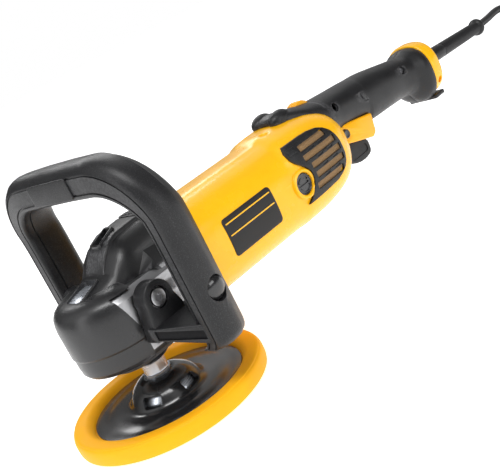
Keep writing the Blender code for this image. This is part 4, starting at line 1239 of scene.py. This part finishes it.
def bail_path():
    """Points and outward directions of the handle's outer line, from the right foot to the left."""
    rows = [(-BAIL_HALF + inset, z, -1.0, 0.0) for z, inset in BAIL_ARM]
    side = BAIL_HALF - BAIL_CORNER
    for i in range(1, 28):
        angle = math.radians(180 - 90 * i / 28)
        c, s = math.cos(angle), math.sin(angle)
        rows.append((-side + BAIL_CORNER * c, BAIL_TOP - BAIL_CORNER + BAIL_CORNER * s, c, s))
    rows += [(-side, BAIL_TOP, 0.0, 1.0), (-0.034, BAIL_TOP + 0.0003, 0.0, 1.0)]
    rows += [(-0.02, BAIL_TOP + 0.0006, 0.0, 1.0)]
    return rows + [(-y, z, -a, b) for y, z, a, b in reversed(rows)]


def bail_section(y, z, out_y, out_z, groove):
    """One section, with its styling grooves. It widens and leans from the arms to the crossbar."""
    blend = min(max(out_z, 0.0), 1.0)
    front = -0.0008 - 0.0076 * blend
    rear = 0.0375 - 0.0085 * blend
    thick = 0.023 + 0.0065 * blend
    deep = groove * 0.9
    line = BAIL_GROOVE_DEPTH
    shape = [
        (front + 0.0125, 0.0), (front + 0.0175, 0.0004), (front + 0.023, 0.0012), (rear - 0.012, 0.0034),
        (rear - 0.0085, 0.0053), (rear - 0.0052, 0.008), (rear - 0.0025, 0.0115), (rear - 0.0008, 0.014),
        (rear, thick * 0.72), (rear - 0.0014, thick * 0.83), (rear - 0.004, thick * 0.92),
        (rear - 0.0074, thick * 0.98), (rear - 0.011, thick), (front + 0.01, thick),
        (front + 0.0097, thick - deep), (front + 0.0088, thick - deep), (front + 0.0085, thick),
        (front + 0.0044, thick), (front + 0.0022, thick - 0.0006), (front + 0.0006, thick - 0.0018),
        (front, thick - 0.0032), (front, thick - 0.0044), (front + deep, thick - 0.0047),
        (front + deep, thick - 0.0047 - groove), (front, thick - 0.005 - groove),
        (front, line + 0.0006 + groove), (front + deep, line + 0.0003 + groove),
        (front + deep, line + 0.0003), (front, line), (front + 0.0001, line - 0.0006),
        (front + 0.0008, line - 0.0022), (front + 0.002, line - 0.004), (front + 0.0038, line - 0.0056),
        (front + 0.0062, 0.0013), (front + 0.0092, 0.0004),
    ]
    return [(x, y - out_y * depth, z - out_z * depth) for x, depth in shape]


def ear_outline():
    points = mm([(-22.5, 73.5), (16, 73.5), (15, 90)])
    for k in range(33):
        angle = math.radians(-10 + 200 * k / 32)
        points.append((EAR_X + 0.0145 * math.cos(angle), EAR_Z + 0.0145 * math.sin(angle)))
    return points


class POLISHER_OT_bail(bpy.types.Operator):
    """Sweeps the bail handle with its grooves, feet, ears and ribs, and adds its plate and screws"""

    bl_idname = "polisher.bail"
    bl_label = "Bail Handle"

    def execute(self, context):
        groove = context.scene.polisher_sizes.seam_width
        bail = extrude_through("bail_handle_grip", [bail_section(*row, groove) for row in bail_path()])
        for name, side in SIDES:
            unite(bail, self.foot(side), self.ear(side))
            for x in (0.0178, 0.0262):
                outline = [
                    (side * 0.06, 0.076), (side * 0.06, 0.0985), (side * 0.064, 0.0985), (side * 0.09, 0.08),
                    (side * 0.09, 0.07),
                ]
                unite(bail, push_outline("foot_rib", outline, x, x + 0.0016, "X"))
            carve(bail, rod("ear_bore", 0.0043, 0.04 * side, 0.07 * side, "Y", (EAR_X, EAR_Z), 32))
            carve(bail, rod("ear_sink", 0.009, 0.0575 * side, 0.07 * side, "Y", (EAR_X, EAR_Z), 48))
            carve(bail, rod("arm_recess", 0.0106, 0.101 * side, 0.12 * side, "Y", (ARM_CAP_X, ARM_CAP_Z), 64))
            carve(bail, self.foot_strip(side))
            # Painted shade: a dark sheet laid in the recess to darken it.
            inlay = self.foot_strip(side, 0.0011, 0.0037, f"foot_shade_sheet_{name}")
            done(inlay, "body", "recess shade sheet", "black_plastic")
        done(bail, "body", "glass filled plastic", "black_plastic", "bail_handle", angle=28)
        plate = push_outline(
            "bail_plate", rounded((-0.03, 0.1972), (0.03, 0.2155), 0.0028, 6), -0.0098, -0.007, "X", 0.0006, 3
        )
        done(plate, "body", "glass filled plastic", "black_plastic")
        screw_profile = mm([
            (0, 41.5), (3.8, 41.5), (3.8, 57.6), (8.8, 57.6), (8.9, 58), (8.6, 58.6), (7.4, 58.8),
            (7.2, 59.2), (7.2, 60.4), (6.9, 61), (6.1, 61.3), (0, 61.3),
        ])
        for name, side in SIDES:
            screw = turned(f"bail_bolt_{name}", screw_profile, EAR_X, EAR_Z, 48, side)
            socket = [
                (EAR_X + 0.0034 * math.cos(math.pi * k / 3), EAR_Z + 0.0034 * math.sin(math.pi * k / 3))
                for k in range(6)
            ]
            carve(screw, push_outline("hex_socket", socket, *ends(side, 0.058, 0.07), "Y"))
            done(screw, "body", "bolt steel", "steel", f"bail_screw_{name}", angle=30)
            cap = turned(f"arm_cap_{name}", mm([
                (0, 100.5), (10.4, 100.5), (10.4, 103), (9.8, 103.4), (8, 104.6), (5.6, 105.6), (2.8, 106.2),
                (0, 106.4),
            ]), ARM_CAP_X, ARM_CAP_Z, 64, side)
            done(cap, "body", "gloss black", "black_plastic", angle=40)
            corners = spans((0.02, 0.025), (side * 0.0625, side * 0.072), (0.08, 0.0835))
            clip = block(f"foot_clip_{name}", *corners, 0.0006)
            done(clip, "body", "cast alloy", "aluminium")
        return {"FINISHED"}

    @staticmethod
    def foot(side):
        outline = mm([(-23.5, 56), (-23, 60), (0.5, 96), (30, 96), (35, 56)])
        rings = [
            [(x, side * y, 0.074 - (y - 0.062) * 0.48) for x, y in outline],
            [(x, side * y, 0.085 - (y - 0.062) * 0.3) for x, y in outline],
        ]
        foot = extrude_through("foot", rings)
        return soften(foot, 0.0012, 3, 30)

    @staticmethod
    def ear(side):
        return push_outline("ear", ear_outline(), *ends(side, 0.0463, 0.062), "Y", 0.0012, 3)

    @staticmethod
    def foot_strip(side, cut=-0.004, half=0.004, name="strip_cut"):
        """The cutter for the long recess in the foot's slanted front, or the dark sheet of painted shade laid
        in it.
        """
        rings = []
        for y in (0.0618, 0.093):
            x = -0.023 + (y - 0.06) * 0.0235 / 0.036
            middle = (0.074 - (y - 0.062) * 0.48 + 0.085 - (y - 0.062) * 0.3) / 2
            rings.append([
                (x + 0.0016, side * (y - 0.001), middle - half),
                (x + 0.0016, side * (y - 0.001), middle + half),
                (x + cut, side * (y - 0.65 * cut), middle + half),
                (x + cut, side * (y - 0.65 * cut), middle - half),
            ])
        return extrude_through(name, rings)


# Motor housing

HOUSING_SECTIONS = mm([
    (64, 44, 56, 144), (68, 45.5, 54.5, 145.5), (90, 46, 54.1, 145.9), (190, 46.2, 53.8, 146.2),
    (206, 48, 53, 150), (232, 48.5, 53.5, 150.8), (256, 48, 56.5, 149), (272, 45.5, 61, 145),
    (282, 41.5, 67.5, 140), (288.5, 37, 74, 134),
])


def slopes_of(xs, ys):
    """Slopes that keep a smooth curve through the points from overshooting them."""
    steps = [(b - a) / (d - c) for a, b, c, d in zip(ys, ys[1:], xs, xs[1:])]
    out = [steps[0]]
    for near, far in zip(steps, steps[1:]):
        out.append(0.0 if near * far <= 0 else 2 * near * far / (near + far))
    return out + [steps[-1]]


def between(sections, x):
    """The half width, low and high of a run of sections at x."""
    xs = [s[0] for s in sections]
    x = min(max(x, xs[0]), xs[-1])
    k = max(i for i in range(len(xs) - 1) if xs[i] <= x)
    width = xs[k + 1] - xs[k]
    t = (x - xs[k]) / width
    out = []
    for column in (1, 2, 3):
        ys = [s[column] for s in sections]
        slopes = slopes_of(xs, ys)
        a = (1 + 2 * t) * (1 - t) ** 2 * ys[k] + t * (1 - t) ** 2 * width * slopes[k]
        b = t * t * (3 - 2 * t) * ys[k + 1] + t * t * (t - 1) * width * slopes[k + 1]
        out.append(a + b)
    return out


def smooth_body(name, sections, power, per_span=4, count=96, grow=0.0, shape=None):
    """A body through smoothed sections along X."""
    rings = []
    stations = []
    for near, far in zip(sections, sections[1:]):
        stations += [near[0] + (far[0] - near[0]) * i / per_span for i in range(per_span)]
    for x in stations + [sections[-1][0]]:
        half, low, high = between(sections, x)
        ring = oval(x, half + grow, low - grow, high + grow, power, count)
        rings.append([shape(*point) for point in ring] if shape else ring)
    return extrude_through(name, rings)


def with_ridges(x, y, z):
    """Lifts a flat strip along the top, whose two edges catch the light."""
    fade = ease((x - 0.07) / 0.02) * ease((0.215 - x) / 0.02)
    lift = 0.0009 * fade * ease((0.0175 - abs(y)) / 0.0022) if z > AXIS_Z else 0.0
    return (x, y, z + lift)


def shell_y(x, z):
    """How far the housing's side stands from the middle plane at a place."""
    half, low, high = between(HOUSING_SECTIONS, x)
    share = min(abs(z - (low + high) / 2) / ((high - low) / 2), 0.999)
    return half * (1 - share**HOUSING_POWER) ** (1 / HOUSING_POWER)


def wrap(obj, side, flat, step=0.0035):
    """Divides a flat piece by planes and lays it on the housing's curved side. flat is its inner face."""
    low = Vector(min(v.co[i] for v in obj.data.vertices) for i in range(3))
    high = Vector(max(v.co[i] for v in obj.data.vertices) for i in range(3))
    only(obj)
    bpy.ops.object.mode_set(mode="EDIT")
    for axis in (0, 2):
        at = low[axis] + step * 0.53
        while at < high[axis]:
            bpy.ops.mesh.select_all(action="SELECT")
            co = [0.0, 0.0, 0.0]
            co[axis] = at
            normal = [0.0, 0.0, 0.0]
            normal[axis] = 1.0
            bpy.ops.mesh.bisect(plane_co=co, plane_no=normal)
            at += step
    bpy.ops.object.mode_set(mode="OBJECT")
    for vert in obj.data.vertices:
        out = side * vert.co.y - flat
        vert.co.y = side * (shell_y(vert.co.x, vert.co.z) + out)
    return obj


def onto_shell(name, side, outline, inner, outer, width=0.0, cutters=(), step=0.0035):
    """A plate of an (x, z) outline, laid on the housing between two heights over its skin."""
    plate = push_outline(name, outline, *ends(side, 0.05 + inner, 0.05 + outer), "Y")
    carve(plate, *cutters)
    if width:
        soften(plate, width, 2, 50)
    return wrap(plate, side, 0.05, step)


def tall_cut(name, low, high, side, corner=0.0004, depth=(0.03, 0.07)):
    """A cutter through a plate that is about to be laid on the housing."""
    return push_outline(name, rounded(low, high, corner, 3), *ends(side, *depth), "Y")


class POLISHER_OT_motor(bpy.types.Operator):
    """Shapes the yellow motor housing with its ridges, brush bosses and dimple, and its side panels"""

    bl_idname = "polisher.motor"
    bl_label = "Motor Housing"

    def execute(self, context):
        shell = smooth_body("motor_shell", HOUSING_SECTIONS, HOUSING_POWER, 5, 120, shape=with_ridges)
        carve(
            shell,
            rod("motor_bore", 0.0365, 0.05, 0.2105, "X", (0, AXIS_Z), 72),
            rod("rear_seat", 0.0098, 0.2, 0.24, "X", (0, AXIS_Z), 48),
            rod("rear_chamber", 0.029, 0.2215, 0.3, "X", (0, 0.104), 64),
            dial_room(),
        )
        for side in (-1, 1):
            boss = turned("brush_boss", mm([
                (10, 38), (14.6, 38), (14.4, 47.8), (13.8, 49), (12.6, 49.5), (11.6, 49.3), (11, 48.6),
                (10, 48.4),
            ]), BRUSH_X, BRUSH_Z, 64, side)
            unite(shell, boss)
            carve(shell, rod("cap_seat", 0.0108, *ends(side, 0.03, 0.06), "Y", (BRUSH_X, BRUSH_Z), 48))
            corners = spans((0.226, 0.256), (0.02 * side, 0.0438 * side), (0.088, 0.124))
            carve(shell, block("air_way", *corners))
            carve(shell, ball("dimple", (0.211, side * 0.015, 0.153), 0.0062, 40))
        screw_holes(shell, 0.05, 0.076)
        soften(shell, 0.0005, 2, 45)
        done(shell, "body", "yellow shell", "yellow_plastic", "motor_housing", angle=32)
        for name, side in SIDES:
            outline = rounded((0.096, 0.0815), (0.161, 0.117), 0.0036, 6)
            panel = onto_shell(f"side_panel_{name}_inlay", side, outline, -0.0004, 0.0007, 0.0003, step=0.005)
            done(panel, "body", "panel black", "black_plastic", f"side_panel_{name}")
            for label, height in (("lower", 0.101), ("upper", 0.1118)):
                line = rounded((0.0985, height - 0.00055), (0.1585, height + 0.00055), 0.0005, 3)
                strip = onto_shell(f"panel_line_{label}_{name}", side, line, 0.0003, 0.00095, step=0.005)
                done(strip, "body", "yellow shell", "yellow_plastic")
        return {"FINISHED"}


# Vents and brush caps

VENT_OUTLINE = mm([
    (200.5, 135.8), (208, 136.1), (225, 136.2), (237, 135.5), (248, 133.5), (254.5, 130.2), (260, 125),
    (263.6, 118.2), (265.5, 111), (265.8, 103.5), (265, 97), (262.8, 91.2), (259, 86.5), (252.5, 82.5),
    (244, 79.7), (220, 78.2), (198, 77.5), (202.2, 81.2), (206, 85.6), (210.2, 90.5), (212.8, 96),
    (213.5, 101), (212.2, 106), (208.8, 110.5), (205.2, 114), (200.8, 118), (197.8, 123), (197.2, 130),
])
VENT_ROWS = mm([
    (123.8, 130, 213, 252), (114, 120.2, 212, 260), (104.2, 110.4, 217.2, 262.2), (94.4, 100.6, 217.8, 261.6),
    (84.6, 90.8, 214, 256),
])
VENT_MIDDLE = Vector((0.233, 0.107))


def shrunk(outline, amount):
    out = []
    for a, b in outline:
        away = Vector((a, b)) - VENT_MIDDLE
        moved = Vector((a, b)) - away.normalized() * amount
        out.append((moved.x, moved.y))
    return out


class POLISHER_OT_vents(bpy.types.Operator):
    """Lays the slatted vent frames and their woven screens on the housing, and adds the brush caps"""

    bl_idname = "polisher.vents"
    bl_label = "Vents and Brush Caps"

    def execute(self, context):
        for name, side in SIDES:
            cutters = [
                tall_cut("row_cut", (front, bottom), (rear, top), side, 0.0008)
                for bottom, top, front, rear in VENT_ROWS
            ]
            for (_, top, front, _), (bottom, _, _, rear) in zip(VENT_ROWS[1:], VENT_ROWS):
                for share in (0.36, 0.72):
                    x = front + (rear - front) * share
                    middle = (top + bottom) / 2
                    slot = tall_cut(
                        "oblong", (x - 0.004, middle - 0.0008), (x + 0.004, middle + 0.0008), side, 0.0008,
                        (0.0518, 0.07),
                    )
                    cutters.append(slot)
            frame_piece = onto_shell(
                f"vent_grille_{name}", side, VENT_OUTLINE, -0.0015, 0.0026, 0.0005, cutters, 0.003
            )
            done(frame_piece, "body", "glass filled plastic", "black_plastic", f"vent_frame_{name}", angle=30)
            screen = onto_shell(f"vent_weave_{name}", side, shrunk(VENT_OUTLINE, 0.0035), -0.001, 0.0009)
            done(screen, "body", "tan screen", "mesh", f"vent_screen_{name}", angle=30)
            tag_line = rounded((0.1995, 0.1262), (0.2105, 0.1322), 0.0008, 3)
            tag = onto_shell(f"vent_tag_{name}", side, tag_line, 0.002, 0.0031, 0.0002)
            done(tag, "body", "glass filled plastic", "black_plastic")
            self.cap(name, side)
        return {"FINISHED"}

    @staticmethod
    def cap(name, side):
        cap = turned(f"brush_cap_{name}_knob", mm([
            (0, 43), (10.3, 43), (10.4, 43.4), (10.4, 46.6), (10.1, 47.1), (9.4, 47.3), (8.9, 47.1),
            (8.8, 46.6), (8.5, 46.5), (0, 46.6),
        ]), BRUSH_X, BRUSH_Z, 72, side)
        slot = rounded((BRUSH_X - 0.0072, BRUSH_Z - 0.001), (BRUSH_X + 0.0072, BRUSH_Z + 0.001), 0.0008, 3)
        carve(cap, push_outline("cap_slot", slot, *ends(side, 0.0452, 0.05), "Y"))
        for turn in (20, 200):
            arc = []
            for radius, order in ((0.0078, 1), (0.0058, -1)):
                for i in range(13)[::order]:
                    angle = math.radians(turn + 140 * i / 12)
                    arc.append((BRUSH_X + radius * math.cos(angle), BRUSH_Z + radius * math.sin(angle)))
            carve(cap, push_outline("cap_arc", arc, *ends(side, 0.0459, 0.05), "Y"))
        soften(cap, 0.0002, 2, 40)
        done(cap, "body", "gloss black", "black_plastic", f"brush_cap_{name}", angle=30)


# Rear handle, dial and switch

HANDLE_SECTIONS = mm([
    (289, 30, 100.5, 149), (308, 26.5, 104.5, 147), (330, 25, 102, 145.5), (354, 24.5, 97.5, 144),
    (360, 24.5, 93, 143.5), (380, 24, 91.8, 142.2), (405, 23, 91, 138.5), (435, 21.8, 89.2, 133.5),
    (448, 22.5, 87, 131.5), (456, 26.2, 77, 133), (462, 28.5, 72, 134.5), (468.5, 29.2, 70.5, 134.5),
])
HANDLE_SCREWS = [(0.303, 0.133), (0.429, 0.1205)]
POD_SECTIONS = mm([
    (229, 13, 144, 154.8), (232.5, 18, 140, 157.5), (242, 21, 138, 159), (256, 25, 135, 156),
    (272, 28.5, 120, 152.5), (288.7, 30, 108, 149.2),
])


class POLISHER_OT_dial(bpy.types.Operator):
    """Shapes the pod behind the motor, with its two bumps, and the knurled speed dial"""

    bl_idname = "polisher.dial"
    bl_label = "Speed Dial and Pod"

    def execute(self, context):
        pod = smooth_body("dial_pod", POD_SECTIONS, POD_POWER, 5, 80)
        for side in (-1, 1):
            at = (0.2405, side * 0.012, 0.152)
            unite(pod, ball("pod_bump", at, 1.0, 48, (0.014, 0.0088, 0.0092)))
        housing = smooth_body(
            "housing_clearance", HOUSING_SECTIONS, HOUSING_POWER, 5, 120, CLEARANCE, with_ridges
        )
        carve(pod, housing, dial_room())
        soften(pod, 0.0006, 2, 40)
        done(pod, "body", "glass filled plastic", "black_plastic", "dial_housing", angle=32)
        wheel = []
        teeth = 36
        for i in range(teeth):
            for share, radius in ((0.0, 0.0), (0.16, 0.0007), (0.5, 0.0007), (0.66, 0.0)):
                angle = 2 * math.pi * (i + share) / teeth
                reach = DIAL_RADIUS - 0.0007 + radius
                wheel.append((DIAL_X + reach * math.cos(angle), DIAL_Z + reach * math.sin(angle)))
        dial = push_outline("speed_dial_wheel", wheel, -0.0062, 0.0062, "Y", 0.0004, 2)
        carve(dial, rod("dial_bore", 0.003, -0.01, 0.01, "Y", (DIAL_X, DIAL_Z), 32))
        done(dial, "dial", "orange trim", "orange_plastic", "speed_dial")
        return {"FINISHED"}


class POLISHER_OT_handle(bpy.types.Operator):
    """Shapes the two halves of the rear handle, its screws, and the yellow band and lip behind it"""

    bl_idname = "polisher.handle"
    bl_label = "Rear Handle"

    def execute(self, context):
        for name, side in SIDES:
            half = smooth_body(f"handle_half_{name}", HANDLE_SECTIONS, HANDLE_POWER, 4, 96)
            wall = 0.004
            inner = [(x, w - wall, low + wall, high - wall) for x, w, low, high in HANDLE_SECTIONS[:9:2]]
            inner[0] = (0.287, *inner[0][1:])
            hollow = smooth_body("handle_hollow", inner, HANDLE_POWER, 3, 48)
            other = spans((0.25, 0.5), (-0.06 * side, 0.00015 * side), (0.04, 0.18))
            carve(half, hollow, block("other_side", *other))
            carve(half, dial_room())
            for x, z in HANDLE_SCREWS:
                carve(half, rod("screw_way", 0.0022, -0.04, 0.04, "Y", (x, z), 24))
                if side < 0:
                    carve(half, rod("screw_sink", 0.0046, -0.04, -0.0165, "Y", (x, z), 40))
            if side < 0:
                carve(half, rod("button_way", 0.0054, -0.04, -0.014, "Y", LOCK_ON, 40))
            crescent = rod("thumb_cut", 0.008, *ends(side, 0.0236, 0.04), "Y", (0.353, 0.126), 48)
            carve(crescent, rod("thumb_keep", 0.008, *ends(side, 0.02, 0.05), "Y", (0.3562, 0.1266), 48))
            carve(half, crescent)
            soften(half, 0.0006, 2, 42)
            done(half, "body", "grip rubber", "black_plastic", f"handle_{name}", angle=32)
        for i, (x, z) in enumerate(HANDLE_SCREWS):
            screw = turned(f"handle_screw_{i + 1}_pan", mm([
                (0, -15), (1.9, -15), (1.9, 16.8), (3.8, 16.8), (3.8, 18), (3.4, 18.8), (2.6, 19.2),
                (0, 19.2),
            ]), x, z, 40, -1)
            for turn in (45, 135):
                cut = block("cross_cut", (-0.0026, -0.023, -0.0004), (0.0026, -0.0178, 0.0004))
                cut.rotation_euler.y = math.radians(turn)
                cut.location = (x, 0, z)
                carve(screw, settle(cut))
            done(screw, "body", "black oxide steel", "steel", f"handle_screw_{i + 1}", angle=30)
        band = extrude_through("rear_band_ring", [oval(*row, HANDLE_POWER, 96) for row in mm([
            (468.8, 29.2, 74.8, 135.6), (469.4, 29.9, 74.2, 136.3), (472.5, 30.5, 74, 137),
            (481.5, 30.2, 74.2, 136.6), (483.2, 29.7, 74.6, 136.1), (484.2, 28.8, 75.3, 135.2),
            (484.5, 27.6, 76.4, 134.1),
        ])])
        for side in (-1, 1):
            carve(band, rod("band_sink", 0.0036, *ends(side, 0.0215, 0.04), "Y", (0.4765, 0.088), 40))
        done(band, "body", "yellow shell", "yellow_plastic", "rear_band", angle=35)
        lip = block("rear_lip_pad", (0.4688, -0.019, 0.069), (0.4875, 0.019, 0.0738), 0.0016, 4)
        done(lip, "body", "glass filled plastic", "black_plastic", "rear_lip")
        return {"FINISHED"}


class POLISHER_OT_switch(bpy.types.Operator):
    """Cuts the orange switch shroud, the trigger and the lock-on button"""

    bl_idname = "polisher.switch"
    bl_label = "Trigger and Switch"

    def execute(self, context):
        outline = mm([(296, 115), (354, 104.5), (350, 85), (344, 81.5), (306, 92)])
        shroud = push_outline("trigger_shroud", outline, -0.0225, 0.0225, "Y", 0.0022, 4)
        carve(
            shroud,
            block("trigger_room", (0.302, -0.0122, 0.07), (0.348, 0.0122, 0.0985)),
            smooth_body("handle_clearance", HANDLE_SECTIONS[:8], HANDLE_POWER, 4, 96, CLEARANCE),
            smooth_body("front_clearance", HOUSING_SECTIONS, HOUSING_POWER, 4, 96, CLEARANCE),
            rod("lock_on_way", 0.0052, -0.04, -0.014, "Y", LOCK_ON, 40),
        )
        soften(shroud, 0.0004, 2, 45)
        done(shroud, "body", "orange trim", "orange_plastic", "switch_shroud", angle=32)
        lever_line = mm([
            (305.5, 96), (312, 96.5), (340, 85), (345.5, 79), (345.5, 74), (344.8, 69), (343, 66.4),
            (340, 65), (335, 64), (330, 63.6), (323.5, 64.1), (317, 65.6), (312, 68.2), (308, 72.2),
            (305.8, 77), (305, 82.5),
        ])
        lever = push_outline("trigger_lever_pad", lever_line, -0.011, 0.011, "Y", 0.002, 4)
        for side in (-1, 1):
            dish = rounded((0.311, 0.07), (0.34, 0.079), 0.0035, 5)
            carve(lever, push_outline("side_dish", dish, *ends(side, 0.0102, 0.014), "Y"))
        done(lever, "trigger_lever", "grip rubber", "grey_rubber", "trigger")
        button = turned("lock_on_knob", mm([
            (0, 18), (4.8, 18), (4.8, 24.3), (4.5, 25), (3.6, 25.5), (3, 25.3), (0, 25.1),
        ]), *LOCK_ON, 40, -1)
        done(button, "lock_on", "gloss black", "black_plastic", "lock_on_button")
        return {"FINISHED"}


class POLISHER_OT_materials(bpy.types.Operator):
    """Makes the shared effects and every material of the polisher"""

    bl_idname = "polisher.materials"
    bl_label = "Materials"

    def execute(self, context):
        make_materials(context.scene.polisher_colours)
        return {"FINISHED"}


STEPS = [
    POLISHER_OT_materials,
    POLISHER_OT_stage,
    POLISHER_OT_cord,
    POLISHER_OT_pad,
    POLISHER_OT_spindle,
    POLISHER_OT_gear_case,
    POLISHER_OT_boot,
    POLISHER_OT_bail,
    POLISHER_OT_motor,
    POLISHER_OT_vents,
    POLISHER_OT_dial,
    POLISHER_OT_handle,
    POLISHER_OT_switch,
]


class POLISHER_PT_panel(bpy.types.Panel):
    """Lists the polisher's steps, sizes and colours"""

    bl_idname = "POLISHER_PT_panel"
    bl_label = "Rotary Polisher"
    bl_space_type = "VIEW_3D"
    bl_region_type = "UI"
    bl_category = "Polisher"

    def draw(self, context):
        for settings in (context.scene.polisher_sizes, context.scene.polisher_colours):
            box = self.layout.box()
            for name in settings.__annotations__:
                box.prop(settings, name)
        for step in STEPS:
            self.layout.operator(step.bl_idname)


def register():
    for kind in (PolisherSizes, PolisherColours, *STEPS, POLISHER_PT_panel):
        bpy.utils.register_class(kind)
    bpy.types.Scene.polisher_sizes = bpy.props.PointerProperty(type=PolisherSizes)
    bpy.types.Scene.polisher_colours = bpy.props.PointerProperty(type=PolisherColours)


def unregister():
    del bpy.types.Scene.polisher_colours
    del bpy.types.Scene.polisher_sizes
    for kind in (POLISHER_PT_panel, *reversed(STEPS), PolisherColours, PolisherSizes):
        bpy.utils.unregister_class(kind)


def main():
    register()
    for step in STEPS:
        operator = getattr(bpy.ops.polisher, step.bl_idname.split(".")[1])
        if operator() != {"FINISHED"}:
            raise RuntimeError(f"{step.bl_label} didn't finish")


if __name__ == "__main__":
    main()
